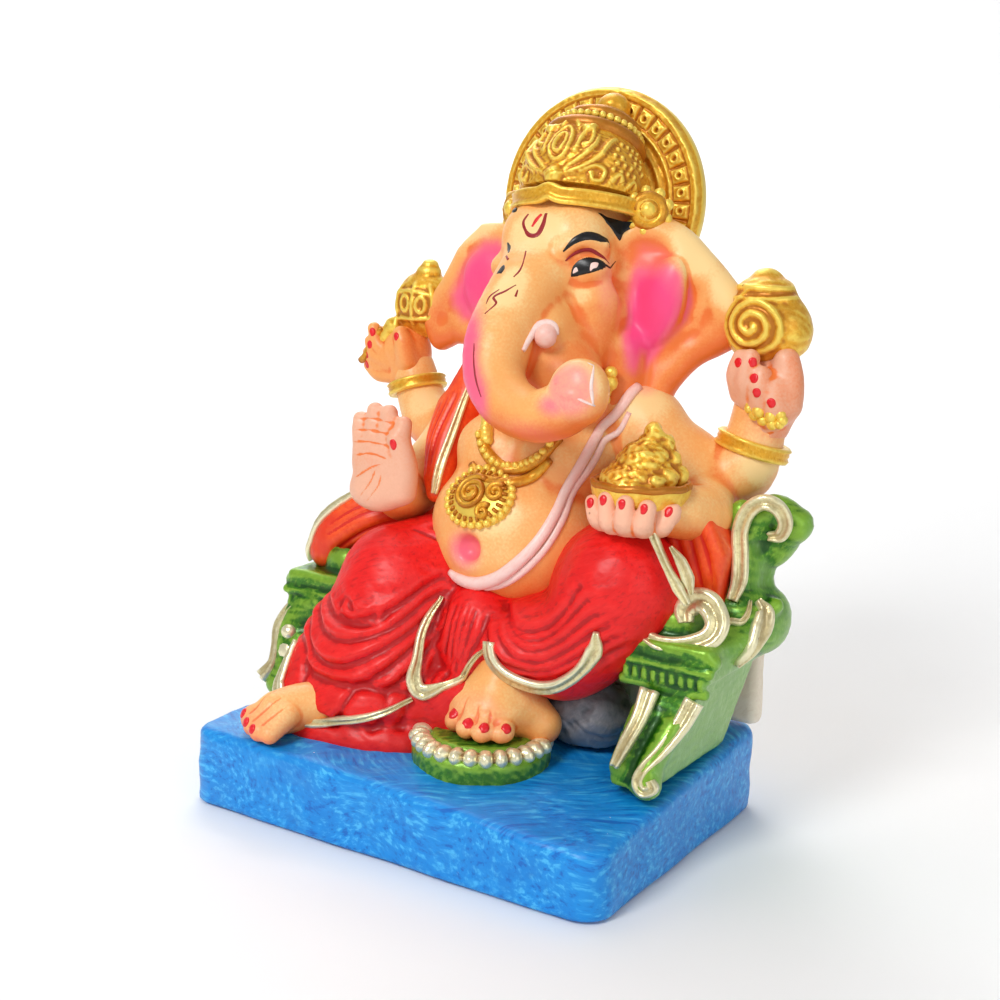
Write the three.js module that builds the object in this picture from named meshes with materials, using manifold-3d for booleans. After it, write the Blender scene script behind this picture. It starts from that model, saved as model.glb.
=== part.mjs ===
// Painted plaster Ganesha idol: a seated elephant-headed figure on a scroll throne and a slab plinth.
// Millimetres, +Z up. The figure faces -Y and its own left hand is on the +X side.
// The origin is the middle of the plinth's underside, where the idol rests on a shelf.
import * as THREE from "three";
import { ConvexGeometry } from "three/addons/geometries/ConvexGeometry.js";
import { mergeVertices } from "three/addons/utils/BufferGeometryUtils.js";
import Module from "manifold-3d";

const wasm = await Module();
wasm.setup();

// Driving dimensions.
const plinthWidth = 140;
const plinthDepth = 104;
const plinthHeight = 26;
const plinthCorner = 7;
const plinthEdge = 2;
const gap = 0.35; // between neighbouring pieces
const figureX = 9; // the figure sits a little to its own left of the plinth's middle
const backY = 50; // the flat back that every piece on the plinth is trimmed to
const seatTop = 62;
const throneTop = 96;
const throneMiddle = 4.5; // the throne's two sides mirror each other about this x
const headZ = 161;
const crownRadius = 20.4;
const haloRadius = 34;
const haloZ = 181;
const haloThickness = 7;
const stoolRadius = 20;
const stoolHeight = 6;
const bowlRadius = 14;
const aroundBall = 9; // facets round a sculpted form
const upBall = 6;
const aroundTube = 7;

const paint = {
  blue: [0x1d7fe0, 0.45, 0],
  green: [0x2f9a2c, 0.35, 0.2],
  gold: [0xd9a520, 0.35, 0.7],
  paleGold: [0xcdbb82, 0.35, 0.6],
  skin: [0xf6b775, 0.5, 0],
  pink: [0xf58f8a, 0.5, 0],
  red: [0xe8141c, 0.45, 0],
  orange: [0xf4571c, 0.5, 0],
  cream: [0xf1d3ae, 0.6, 0],
  white: [0xf3dcd8, 0.5, 0],
  grey: [0x85868c, 0.5, 0.1],
};

// A closed three.js geometry as a manifold solid.
function solidFrom(geometry) {
  const bare = geometry.clone();
  bare.deleteAttribute("normal");
  bare.deleteAttribute("uv");
  const merged = mergeVertices(bare, 1e-4);
  return new wasm.Manifold(
    new wasm.Mesh({
      numProp: 3,
      vertProperties: merged.attributes.position.array,
      triVerts: new Uint32Array(merged.index.array),
    }),
  );
}

// The points of an ellipsoid; a station is [x, y, z, rx, ry, rz], and ry and rz default to rx.
function ballPoints([x, y, z, rx, ry = rx, rz = ry], grow) {
  const ball = new THREE.SphereGeometry(1, aroundBall, upBall);
  ball.rotateX(Math.PI / 2);
  ball.scale(rx + grow, ry + grow, rz + grow).translate(x, y, z);
  const position = mergeVertices(ball, 1e-4).attributes.position;
  return Array.from({ length: position.count }, (_, i) => new THREE.Vector3().fromBufferAttribute(position, i));
}

const hull = (stations, grow) => solidFrom(new ConvexGeometry(stations.flatMap((s) => ballPoints(s, grow))));

// A limb: each pair of neighbouring stations is wrapped, and the wraps are joined.
function limb(...stations) {
  return (grow = 0) => {
    let joined = hull(stations.slice(0, 2), grow);
    for (let i = 1; i < stations.length - 1; i += 1) {
      joined = joined.add(hull(stations.slice(i, i + 2), grow));
    }
    return joined;
  };
}

// One wrap round all stations.
const lump = (...stations) => (grow = 0) => hull(stations, grow);

// A block between two corners.
function block([x0, y0, z0], [x1, y1, z1]) {
  return (grow = 0) => {
    const box = new THREE.BoxGeometry(x1 - x0 + 2 * grow, y1 - y0 + 2 * grow, z1 - z0 + 2 * grow);
    return solidFrom(box.translate((x0 + x1) / 2, (y0 + y1) / 2, (z0 + z1) / 2));
  };
}

// A round piece about a vertical axis through [x, y]; the profile is [radius, z] from the bottom up.
function turned([x, y], profile, around = 20) {
  return (grow = 0) => {
    const low = profile[0][1] - grow;
    const high = profile[profile.length - 1][1] + grow;
    const outline = profile.map(([r, z], i) => {
      const end = i === 0 ? low : i === profile.length - 1 ? high : z;
      return new THREE.Vector2(r + grow, end);
    });
    outline.unshift(new THREE.Vector2(0, low));
    outline.push(new THREE.Vector2(0, high));
    const lathe = new THREE.LatheGeometry(outline, around);
    return solidFrom(lathe.rotateX(Math.PI / 2).translate(x, y, 0));
  };
}

// A disc that stands upright, facing -Y.
function uprightDisc([x, y, z], radius, thickness, around = 30) {
  return (grow = 0) => {
    const disc = new THREE.CylinderGeometry(radius + grow, radius + grow, thickness + 2 * grow, around);
    return solidFrom(disc.translate(x, y, z));
  };
}

// A ring of wire radius `wire` about an axis.
function ring([x, y, z], radius, wire, tilt = [0, 0, 0], around = 16) {
  return (grow = 0) => {
    const torus = new THREE.TorusGeometry(radius, wire + grow, aroundTube, around);
    torus.applyMatrix4(new THREE.Matrix4().makeRotationFromEuler(new THREE.Euler(...tilt)));
    return solidFrom(torus.translate(x, y, z));
  };
}

// A round cord along a smooth line through the points.
function cord(points, radius, steps = 4) {
  return (grow = 0) => {
    const line = new THREE.CatmullRomCurve3(points.map((p) => new THREE.Vector3(...p)));
    const section = new THREE.Shape().absarc(0, 0, radius + grow, 0, 2 * Math.PI, false);
    const settings = { steps: (points.length - 1) * steps, extrudePath: line, bevelEnabled: false, curveSegments: 3 };
    return solidFrom(new THREE.ExtrudeGeometry(section, settings));
  };
}

// The plinth's rounded slab, with its top edge eased.
function plinthSlab(grow = 0) {
  const [w, d] = [plinthWidth / 2 - plinthEdge + grow, plinthDepth / 2 - plinthEdge + grow];
  const r = plinthCorner;
  const outline = new THREE.Shape();
  outline.absarc(w - r, d - r, r, 0, Math.PI / 2, false);
  outline.absarc(r - w, d - r, r, Math.PI / 2, Math.PI, false);
  outline.absarc(r - w, r - d, r, Math.PI, 1.5 * Math.PI, false);
  outline.absarc(w - r, r - d, r, 1.5 * Math.PI, 2 * Math.PI, false);
  const settings = {
    depth: plinthHeight - 2 * plinthEdge,
    bevelThickness: plinthEdge,
    bevelSize: plinthEdge,
    bevelSegments: 1,
    curveSegments: 4,
  };
  const slab = new THREE.ExtrudeGeometry(outline, settings).translate(0, 0, plinthEdge);
  return solidFrom(slab);
}

// What stands above the plinth and behind the flat back is trimmed off.
const behindBack = block([-200, backY, plinthHeight], [200, backY + 200, 400]);

// Pieces that the two sides of the throne share; side is +1 for the figure's left and -1 for its right.
// They are written for the left side and mirrored for the right one.
function throneSide(side) {
  const hand = side > 0 ? "left" : "right";
  const at = (x) => (side > 0 ? x : 2 * throneMiddle - x);
  const span = (x0, x1) => [Math.min(at(x0), at(x1)), Math.max(at(x0), at(x1))];
  const [panelIn, panelOut] = span(56, 68);
  const [capIn, capOut] = span(48, 74);
  return [
    [`${hand}_throne_panel`, "green", block([panelIn, -10, 26.4], [panelOut, 49.5, 48])],
    [`${hand}_throne_front_leg`, "paleGold",
      limb([at(61), -17, 30, 4.5], [at(59), -14, 40, 3.6], [at(60), -9, 50, 4])],
    [`${hand}_throne_capital`, "green", block([capIn, -9, 48.4], [capOut, 47, 61])],
  ];
}

// Every piece, first the ones that keep their whole shape; each later one is cut clear of those before it.
const pieces = [
  ["plinth", "blue", plinthSlab],
  ["throne_seat", "cream", block([-44, 10, 26.4], [44, 42, seatTop])],
  ["throne_back", "cream", block([-58, 42.4, 26.4], [71, backY - 0.2, throneTop])],
  ...throneSide(1),
  ...throneSide(-1),
  ["left_throne_small_scroll", "paleGold", limb([71, 2, 70, 8, 5, 8], [64, 4, 64, 5, 5, 3])],
  ["left_throne_leaf", "paleGold", limb([78, 20, 66, 8, 9, 10], [72, 18, 60, 5, 7, 4])],
  ["left_throne_large_scroll", "green",
    limb([70, 27, 66, 7, 8, 5], [67, 28, 80, 5.5, 7, 5], [70, 27, 93, 5], [76, 26, 98.5, 5], [84, 26, 97, 5],
      [86.5, 26, 90, 5], [82, 26, 86, 4.5], [78.5, 26, 89.5, 4])],
  ["footstool_disc", "green", turned([14, -21], [[18, 26.4], [19.5, 27.5], [19, 31]])],
  ["footstool_bead_ring", "paleGold", ring([14, -21, 29.3], 22.2, 2.5, [0, 0, 0], 22)],

  ["belly", "skin", lump([figureX, 14, 84, 25, 24, 23], [figureX, 20, 72, 24, 20, 16])],
  ["chest", "skin",
    limb([-14, 28, 115, 12, 11, 10], [figureX + 1, 26, 110, 24, 19, 16], [36, 28, 116, 12, 11, 10])],
  ["head", "skin", lump([figureX + 1, 27, headZ + 2, 22, 20, 17], [figureX + 3, 24, 142, 25, 19, 16])],
  ["trunk", "skin",
    limb([8, 4, 155, 11], [8, -8, 144, 9], [11, -15, 133, 7.5], [17, -18, 124.5, 7], [27, -19, 121.8, 6.5],
      [36, -20, 124, 6.5], [42, -21, 129, 8])],
  ["left_tusk", "white", limb([26, 2, 144, 3.4], [23.5, -8, 142.5, 3.2])],
  ["left_ear", "pink",
    lump([34, 29, 168, 5, 4, 5], [45, 32, 161, 4, 4, 5], [44, 31, 149, 5, 4, 5], [36, 24, 134, 4, 3.5, 5],
      [31, 24, 151, 4, 4, 6])],
  ["right_ear", "pink",
    lump([-16, 31, 168, 5, 4, 5], [-27, 33, 167, 4, 4, 5], [-36, 33, 155, 4, 4, 5], [-24, 30, 142, 4, 4, 5],
      [-15, 28, 152, 4, 4, 5])],

  ["halo_disc", "gold", uprightDisc([figureX + 1, 45.5, haloZ], haloRadius, haloThickness)],
  ["crown_band", "gold", turned([figureX + 3, 28], [[crownRadius - 1, 173], [crownRadius, 175], [crownRadius - 0.4, 180]], 24)],
  ["crown_dome", "gold", turned([figureX + 3, 29], [[crownRadius - 1, 180.4], [crownRadius - 1.6, 188], [crownRadius - 5, 195]], 24)],
  ["crown_upper_tier", "gold", turned([figureX + 4, 32], [[13.5, 195.4], [13, 199], [9, 204]])],
  ["crown_finial", "gold", turned([figureX + 6, 36], [[5.6, 204.4], [5.6, 208], [2.5, 213]], 14)],
  ["left_crown_rosette", "gold", lump([35, 26, 177, 4.8, 4.4, 4.8])],
  ["right_crown_rosette", "gold", lump([-11, 26, 177, 4.8, 4.4, 4.8])],

  ["right_leg_drape", "red",
    limb([-8, 22, 70, 20, 20, 17], [-24, -6, 66, 20, 20, 20], [-29, -13, 42, 25, 22, 15])],
  ["left_leg_drape", "red",
    limb([24, 22, 72, 20, 20, 18], [44, 0, 76, 18, 17, 17], [36, -4, 56, 17, 16, 12])],
  ["centre_pleats", "red", lump([3, -9, 62, 11, 10, 6], [4, -14, 40, 13, 9, 8])],
  ["right_foot", "skin", limb([-37, -31, 31, 6, 6, 4.4], [-47, -46, 30, 7, 6, 3.4])],
  ["left_foot", "skin", limb([24, -12, 43, 8, 8, 9], [18, -24, 36, 9, 7, 4.6])],
  ["cushion_stone", "grey", lump([34, 6, 35.6, 13, 10, 9])],

  ["right_rear_upper_arm", "skin",
    limb([-20, 30, 114, 9], [-40, 30, 113, 9], [-50, 34, 118, 8])],
  ["left_rear_upper_arm", "skin",
    limb([38, 30, 114, 9], [58, 30, 103, 10], [67, 33, 110, 9])],
  ["right_rear_hand", "skin", limb([-52, 35, 124, 7.5], [-56, 36, 134, 8], [-40, 37, 137, 6])],
  ["left_rear_hand", "skin", limb([69, 34, 118, 8.5], [71, 34, 130, 9], [69, 34, 138, 8])],
  ["left_ear_web", "skin", limb([40, 36, 136, 6, 5, 9], [56, 37, 150, 6, 5, 6])],
  ["right_ear_web", "skin", limb([-26, 38, 142, 6, 5, 9], [-42, 38, 142, 6, 5, 6])],
  ["right_bangle", "gold", ring([-50.5, 34.5, 120], 8.2, 1.6, [0.15, -0.15, 0])],
  ["left_bangle", "gold", ring([68, 33.5, 113], 9.2, 1.9, [0.1, 0.4, 0])],
  ["noose_emblem", "gold", limb([-58, 36, 141, 5, 5, 5], [-50, 36, 146, 10, 6, 8], [-49, 36, 155, 4, 4, 4.5])],
  ["conch_emblem", "gold",
    limb([60, 34, 149, 5, 6, 5], [70, 34, 147.5, 10.5, 7.5, 9], [68, 34, 156, 6, 6, 4], [67, 34, 160, 2.5])],

  ["right_front_arm", "skin",
    limb([-22, 24, 104, 10], [-31, 14, 90, 9], [-30, 0, 98, 8])],
  ["right_front_palm", "pink", lump([-32, -9, 104, 12.5, 6, 15.5])],
  ["left_front_arm", "skin",
    limb([45, 24, 108, 9], [60, 18, 96, 9], [62, 6, 97, 8])],
  ["left_front_palm", "pink", lump([51, -3, 97, 14.5, 11, 6])],
  ["modak_bowl", "gold", turned([51, -3], [[10, 101.2], [bowlRadius, 104.6]], 18)],
  ["modak_heap", "gold", lump([50, -3, 108, 10.5, 9, 6], [53, -2, 115, 5, 5, 5])],

  ["shawl_shoulder", "orange", limb([-24, 28, 122, 7, 9, 5], [-26, 16, 108, 7, 6, 9], [-22, 8, 100, 5, 5, 5])],
  ["shawl_right_end", "orange",
    lump([-52, 22, 73, 14, 18, 8], [-54, 12, 67, 10, 12, 5])],
  ["shawl_left_end", "orange", lump([63, 14, 82, 7, 8, 9], [58, 26, 84, 8, 8, 8])],
  ["sash_tail", "paleGold", limb([57, -9, 90, 2.6], [62, -10, 82, 3.2], [65, -9, 74, 2.6])],
  ["necklace", "gold",
    cord([[-5, 6, 122], [-7, 0, 111], [1, -5, 103.5], [14, -5, 105], [24, 0, 112], [30, 6, 122]], 2.4)],
  ["pendant", "gold", lump([1, -8, 95, 10.5, 5, 8.5])],
  ["sacred_thread", "white",
    cord([[38, 18, 130], [35, 8, 119], [30, 0, 106], [27, -6, 94], [19, -11, 80], [8, -12, 72], [-5, -9, 70]], 2.1)],
  ["right_hem_trim", "paleGold",
    cord([[-51, -20, 45], [-52, -28, 37], [-40, -36, 32], [-22, -38, 31], [-5, -32, 36]], 1.8)],
  ["left_hem_trim", "paleGold",
    cord([[14, -17, 60], [18, -21, 50], [30, -22, 46], [42, -18, 52], [48, -15, 65]], 2.4)],
  ["pleat_trim", "paleGold",
    cord([[-3, -20, 68], [-8, -23, 52], [-5, -25, 41], [4, -25, 44], [12, -22, 53]], 1.7)],
];

const bounds = (solid) => solid.boundingBox();
const meet = (a, b) => [0, 1, 2].every((k) => a.min[k] - 1 < b.max[k] && b.min[k] - 1 < a.max[k]);

// Cuts each piece clear of the ones before it, and keeps its largest part.
function settle() {
  const settled = [];
  const back = behindBack(0);
  for (const [name, colour, make] of pieces) {
    let solid = make(0).subtract(back);
    for (const earlier of settled) {
      if (meet(bounds(solid), bounds(earlier.fat))) {
        solid = solid.subtract(earlier.fat);
      }
    }
    const parts = solid.decompose().sort((a, b) => b.volume() - a.volume());
    settled.push({ name, colour, solid: parts[0], fat: make(gap) });
  }
  return settled;
}

// A settled solid as a mesh that stands at its own middle.
function meshOf({ name, colour, solid }) {
  const { vertProperties, triVerts, numProp } = solid.getMesh();
  const corners = new Float32Array((vertProperties.length / numProp) * 3);
  for (let i = 0; i < corners.length / 3; i += 1) {
    corners.set(vertProperties.subarray(i * numProp, i * numProp + 3), i * 3);
  }
  const geometry = new THREE.BufferGeometry();
  geometry.setAttribute("position", new THREE.BufferAttribute(corners, 3));
  geometry.setIndex(new THREE.BufferAttribute(triVerts, 1));
  geometry.computeBoundingBox();
  const middle = geometry.boundingBox.getCenter(new THREE.Vector3()).round();
  geometry.translate(-middle.x, -middle.y, -middle.z).computeVertexNormals();
  const [color, roughness, metalness] = paint[colour];
  const mesh = new THREE.Mesh(geometry, new THREE.MeshStandardMaterial({ color, roughness, metalness }));
  mesh.name = name;
  mesh.position.copy(middle);
  return mesh;
}

const idol = new THREE.Group();
for (const piece of settle()) {
  idol.add(meshOf(piece));
}

export default idol;
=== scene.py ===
import math
import bpy
import numpy as np
from mathutils import Matrix, Vector


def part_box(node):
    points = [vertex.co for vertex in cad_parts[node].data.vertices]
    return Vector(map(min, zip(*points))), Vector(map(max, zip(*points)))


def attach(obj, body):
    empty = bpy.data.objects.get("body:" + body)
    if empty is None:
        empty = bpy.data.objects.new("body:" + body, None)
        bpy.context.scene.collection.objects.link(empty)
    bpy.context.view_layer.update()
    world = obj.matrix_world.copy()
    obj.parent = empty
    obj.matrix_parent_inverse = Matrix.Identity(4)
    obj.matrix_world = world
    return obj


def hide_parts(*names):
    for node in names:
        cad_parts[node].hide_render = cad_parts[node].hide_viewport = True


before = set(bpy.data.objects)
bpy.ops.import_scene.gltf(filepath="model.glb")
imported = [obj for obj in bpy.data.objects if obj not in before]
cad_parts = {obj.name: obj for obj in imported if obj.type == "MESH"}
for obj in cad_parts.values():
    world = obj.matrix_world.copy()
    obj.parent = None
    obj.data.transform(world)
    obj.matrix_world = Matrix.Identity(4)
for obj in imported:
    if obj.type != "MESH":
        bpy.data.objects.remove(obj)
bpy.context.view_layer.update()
mm = 0.001


# Places taken from the frame, in millimetres.

def boxOf(node):
    low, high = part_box(node)
    return np.array(low) / mm, np.array(high) / mm


def middleOf(node):
    low, high = boxOf(node)
    return (low + high) / 2


slabLow, slabHigh = boxOf("plinth")
slabTop = slabHigh[2]


# Clay is a field on a grid, negative inside, that is built up form by form and then given a skin.
class Clay:
    def __init__(self, low, high, voxel):
        self.voxel = voxel * 1.3
        self.low = np.array(low, float)
        self.count = np.ceil((np.array(high) - self.low) / self.voxel).astype(int) + 1
        self.field = np.full(self.count, 20.0, np.float32)

    def window(self, low, high, reach):
        start = np.floor((np.array(low) - reach - self.low) / self.voxel).astype(int)
        stop = np.ceil((np.array(high) + reach - self.low) / self.voxel).astype(int) + 1
        start, stop = np.clip(start, 0, self.count), np.clip(stop, 0, self.count)
        part = tuple(slice(a, b) for a, b in zip(start, stop))
        rows = [self.low[k] + self.voxel * np.arange(start[k], stop[k]) for k in range(3)]
        return part, np.meshgrid(*[r.astype(np.float32) for r in rows], indexing="ij", sparse=True)

    def put(self, low, high, distance, blend=2.0, cut=False, reach=8.0):
        part, (x, y, z) = self.window(low, high, reach)
        if any(s.stop <= s.start for s in part):
            return
        new = distance(x, y, z).astype(np.float32)
        old = -self.field[part] if cut else self.field[part]
        near = np.maximum(blend - np.abs(old - new), 0)
        joined = np.minimum(old, new) - near * near / max(4 * blend, 1e-3)
        self.field[part] = -joined if cut else joined

    def ball(self, at, radii, blend=4.0, cut=False, turn=None):
        at, r = np.array(at, float), np.array(np.broadcast_to(radii, 3), float)
        m = np.array(Matrix.Rotation(math.radians(turn[0]), 3, turn[1])) if turn else np.eye(3)

        def distance(x, y, z):
            p = [x - at[0], y - at[1], z - at[2]]
            p = [m[0][k] * p[0] + m[1][k] * p[1] + m[2][k] * p[2] for k in range(3)] if turn else p
            k0 = np.sqrt(sum((p[k] / r[k]) ** 2 for k in range(3)))
            k1 = np.sqrt(sum((p[k] / r[k] ** 2) ** 2 for k in range(3))) + 1e-6
            return k0 * (k0 - 1) / k1
        big = r.max() if turn else r
        self.put(at - big, at + big, distance, blend, cut)

    def limb(self, stations, blend=3.0, cut=False, smooth=4, squash=None):
        path = flowing(stations, smooth) if smooth > 1 else np.array(stations, float)
        r = path[:, 3]
        axis, share = (np.array(squash[0], float), squash[1]) if squash else (np.zeros(3), 1)
        axis = axis / (np.linalg.norm(axis) + 1e-9)

        def distance(x, y, z):
            best = None
            for a, b in zip(path[:-1], path[1:]):
                d = b[:3] - a[:3]
                p = [x - a[0], y - a[1], z - a[2]]
                t = np.clip((p[0] * d[0] + p[1] * d[1] + p[2] * d[2]) / (d @ d), 0, 1)
                q = [p[k] - t * d[k] for k in range(3)]
                if squash:
                    over = (q[0] * axis[0] + q[1] * axis[1] + q[2] * axis[2]) * (1 / share - 1)
                    q = [q[k] + over * axis[k] for k in range(3)]
                gap = np.sqrt(sum(v ** 2 for v in q)) - (a[3] + t * (b[3] - a[3]))
                best = gap if best is None else np.minimum(best, gap)
            return best * share ** 0.5
        self.put((path[:, :3] - r[:, None]).min(0), (path[:, :3] + r[:, None]).max(0), distance, blend, cut)

    def slab(self, low, high, blend=1.0, cut=False, edge=0.8, turn=None):
        low, high = np.array(low, float), np.array(high, float)
        mid, half = (low + high) / 2, (high - low) / 2 - edge
        m = np.array(Matrix.Rotation(math.radians(turn[0]), 3, turn[1])) if turn else np.eye(3)

        def distance(x, y, z):
            p = [x - mid[0], y - mid[1], z - mid[2]]
            p = [m[0][k] * p[0] + m[1][k] * p[1] + m[2][k] * p[2] for k in range(3)] if turn else p
            q = [np.abs(v) - half[k] for k, v in enumerate(p)]
            outside = np.sqrt(sum(np.maximum(v, 0) ** 2 for v in q))
            return outside + np.minimum(np.maximum(np.maximum(q[0], q[1]), q[2]), 0) - edge
        self.put(low, high, distance, blend, cut, 12 if turn else 8)

    def sheet(self, outline, thick, depth, blend=3.0, edge=2.0, cut=False, across=1):
        points = np.array(outline, float)  # its edge seen along the axis named by across; depth gives its middle

        def distance(x, y, z):
            u, w = (x, y) if across == 1 else (y, x)
            flat = insideOutline(points, u + 0 * z, z + 0 * u) + edge
            gap = np.abs(w - depth(u, z)) - thick / 2 + edge
            outside = np.sqrt(np.maximum(flat, 0) ** 2 + np.maximum(gap, 0) ** 2)
            return outside + np.minimum(np.maximum(flat, gap), 0) - edge
        depths = [float(depth(p[0], p[1])) for p in points]
        low = [points[:, 0].min(), min(depths) - thick, points[:, 1].min()]
        high = [points[:, 0].max(), max(depths) + thick, points[:, 1].max()]
        if across == 0:
            low[:2], high[:2] = low[1::-1], high[1::-1]
        self.put(low, high, distance, blend, cut)

    def feel(self, points):
        p = np.clip((points - self.low) / self.voxel, 0, self.count - 1.001)
        i = p.astype(int)
        f = p - i
        total = 0
        for dx in (0, 1):
            for dy in (0, 1):
                for dz in (0, 1):
                    share = abs(1 - dx - f[:, 0]) * abs(1 - dy - f[:, 1]) * abs(1 - dz - f[:, 2])
                    total = total + share * self.field[i[:, 0] + dx, i[:, 1] + dy, i[:, 2] + dz]
        return total

    def slope(self, points):
        out = np.empty_like(points)
        for k in range(3):
            move = np.zeros(3)
            move[k] = self.voxel
            out[:, k] = self.feel(points + move) - self.feel(points - move)
        return out / (np.linalg.norm(out, axis=1, keepdims=True) + 1e-9)

    def onto(self, points, steps=10):
        points = np.array(points, float)
        for _ in range(steps):
            points = points - self.slope(points) * self.feel(points)[:, None] * 0.8
        return points

    def skin(self, settle=2):
        f = self.field
        inside = f < 0
        corners = [(a, b, c) for a in (0, 1) for b in (0, 1) for c in (0, 1)]
        n = self.count - 1
        tally = np.zeros(n, np.uint8)
        for a, b, c in corners:
            tally += inside[a:a + n[0], b:b + n[1], c:c + n[2]]
        cells = np.argwhere((tally > 0) & (tally < 8))
        value = np.stack([f[cells[:, 0] + a, cells[:, 1] + b, cells[:, 2] + c] for a, b, c in corners], 1)
        total, hits = np.zeros((len(cells), 3)), np.zeros(len(cells))
        for i, p in enumerate(corners):
            for j, q in enumerate(corners):
                if j > i and sum(abs(u - v) for u, v in zip(p, q)) == 1:
                    crossed = (value[:, i] < 0) != (value[:, j] < 0)
                    t = value[:, i] / np.where(crossed, value[:, i] - value[:, j], 1)
                    spot = np.array(p) + t[:, None] * (np.array(q) - np.array(p))
                    total += np.where(crossed[:, None], spot, 0)
                    hits += crossed
        verts = self.low + self.voxel * (cells + total / hits[:, None])
        number = np.full(n, -1, np.int32)
        number[tuple(cells.T)] = np.arange(len(cells))
        faces = []
        for k in range(3):
            u, v = (k + 1) % 3, (k + 2) % 3
            first, second = [slice(1, -1)] * 3, [slice(1, -1)] * 3
            first[k], second[k] = slice(0, -1), slice(1, None)
            one, two = inside[tuple(first)], inside[tuple(second)]
            for found, turned in ((one & ~two, 1), (~one & two, -1)):
                at = np.argwhere(found) + np.array([0 if m == k else 1 for m in range(3)])
                ring = []
                for du, dv in ((-1, -1), (0, -1), (0, 0), (-1, 0)):
                    c = at.copy()
                    c[:, u] += du
                    c[:, v] += dv
                    ring.append(number[c[:, 0], c[:, 1], c[:, 2]])
                faces.append(np.stack(ring[::turned], 1))
        faces = np.concatenate(faces)
        faces = faces[(faces >= 0).all(1)]
        for _ in range(settle):
            verts = relaxed(verts, faces, 1, 0.6)
            verts = verts - self.slope(verts) * self.feel(verts)[:, None] * 0.8
        return verts, faces


def insideOutline(points, x, z):
    best, odd = None, np.zeros(np.broadcast(x, z).shape, bool)
    for a, b in zip(points, np.roll(points, -1, 0)):
        d = b - a
        t = np.clip(((x - a[0]) * d[0] + (z - a[1]) * d[1]) / (d @ d), 0, 1)
        gap = np.hypot(x - a[0] - t * d[0], z - a[1] - t * d[1])
        best = gap if best is None else np.minimum(best, gap)
        if a[1] != b[1]:
            level = (z >= min(a[1], b[1])) & (z < max(a[1], b[1]))
            odd ^= level & (x < a[0] + (z - a[1]) * d[0] / d[1])
    return np.where(odd, -best, best)  # negative inside


def flowing(points, per=6):
    p = np.array(points, float)
    ends = np.vstack([2 * p[0] - p[1], p, 2 * p[-1] - p[-2]])
    out = []
    for a, b, c, d in zip(ends[:-3], ends[1:-2], ends[2:-1], ends[3:]):
        for t in np.arange(per) / per:
            out.append(0.5 * (2 * b + (c - a) * t + (2 * a - 5 * b + 4 * c - d) * t * t
                              + (3 * b - a - 3 * c + d) * t ** 3))
    return np.array(out + [p[-1]])


def closedLoop(points, per=6):
    p = np.array(points, float)
    return flowing(np.vstack([p[-2:], p, p[:2]]), per)[2 * per:-2 * per - 1]


def relaxed(verts, faces, rounds, share=0.5):
    sides = faces.shape[1]
    pairs = np.concatenate([faces[:, [i, (i + 1) % sides]] for i in range(sides)])
    pairs = np.concatenate([pairs, pairs[:, ::-1]])
    weight = np.bincount(pairs[:, 0], minlength=len(verts))[:, None] + 1e-9
    for _ in range(rounds):
        mean = np.stack([np.bincount(pairs[:, 0], verts[pairs[:, 1], k], len(verts)) for k in range(3)], 1)
        verts = verts + share * (mean / weight - verts)
    return verts


def normalsOf(verts, faces):
    flat = np.cross(verts[faces[:, 2]] - verts[faces[:, 0]], verts[faces[:, -1]] - verts[faces[:, 1]])
    out = np.zeros_like(verts)
    for i in range(faces.shape[1]):
        for k in range(3):
            out[:, k] += np.bincount(faces[:, i], flat[:, k], len(verts))
    return out / (np.linalg.norm(out, axis=1, keepdims=True) + 1e-12)


def ease(value, low, high):
    t = np.clip((value - low) / (high - low), 0, 1)
    return t * t * (3 - 2 * t)


def wobble(p, size, seed=0):
    out = 0
    for k in range(4):  # a cheap smooth noise from a few crossed waves
        a = 1.7 * k + seed
        d = np.array([math.cos(a * 2.1), math.sin(a * 1.3), math.cos(a * 0.7 + 1)])
        e = np.array([math.sin(a * 1.9), math.cos(a * 2.7), math.sin(a * 1.1 + 2)])
        out = out + np.sin(p @ d * 2 * math.pi / size + a + 1.5 * np.sin(p @ e * 4 / size))
    return out / 4


def nearPath(verts, path, reach=6):
    path = np.array(path, float)
    best, where = np.full(len(verts), 1e9), np.zeros(len(verts))
    rows = np.nonzero(((verts > path.min(0) - reach) & (verts < path.max(0) + reach)).all(1))[0]
    p = verts[rows]
    for i, (a, b) in enumerate(zip(path[:-1], path[1:])):
        d = b - a
        t = np.clip(((p - a) @ d) / (d @ d + 1e-9), 0, 1)
        gap = np.linalg.norm(p - a - t[:, None] * d, axis=1)
        closer = gap < best[rows]
        best[rows[closer]] = gap[closer]
        where[rows[closer]] = (i + t[closer]) / (len(path) - 1)
    return best, where


def scored(verts, normals, path, width, height, taper=0.5, flat=1.0):
    gap, where = nearPath(verts, path, width * 3)
    fade = np.sin(np.clip(where, 0.001, 0.999) * math.pi) ** taper if taper else 1
    return verts + normals * (height * fade * np.exp(-(gap / width) ** (2 * flat)))[:, None]


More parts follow.
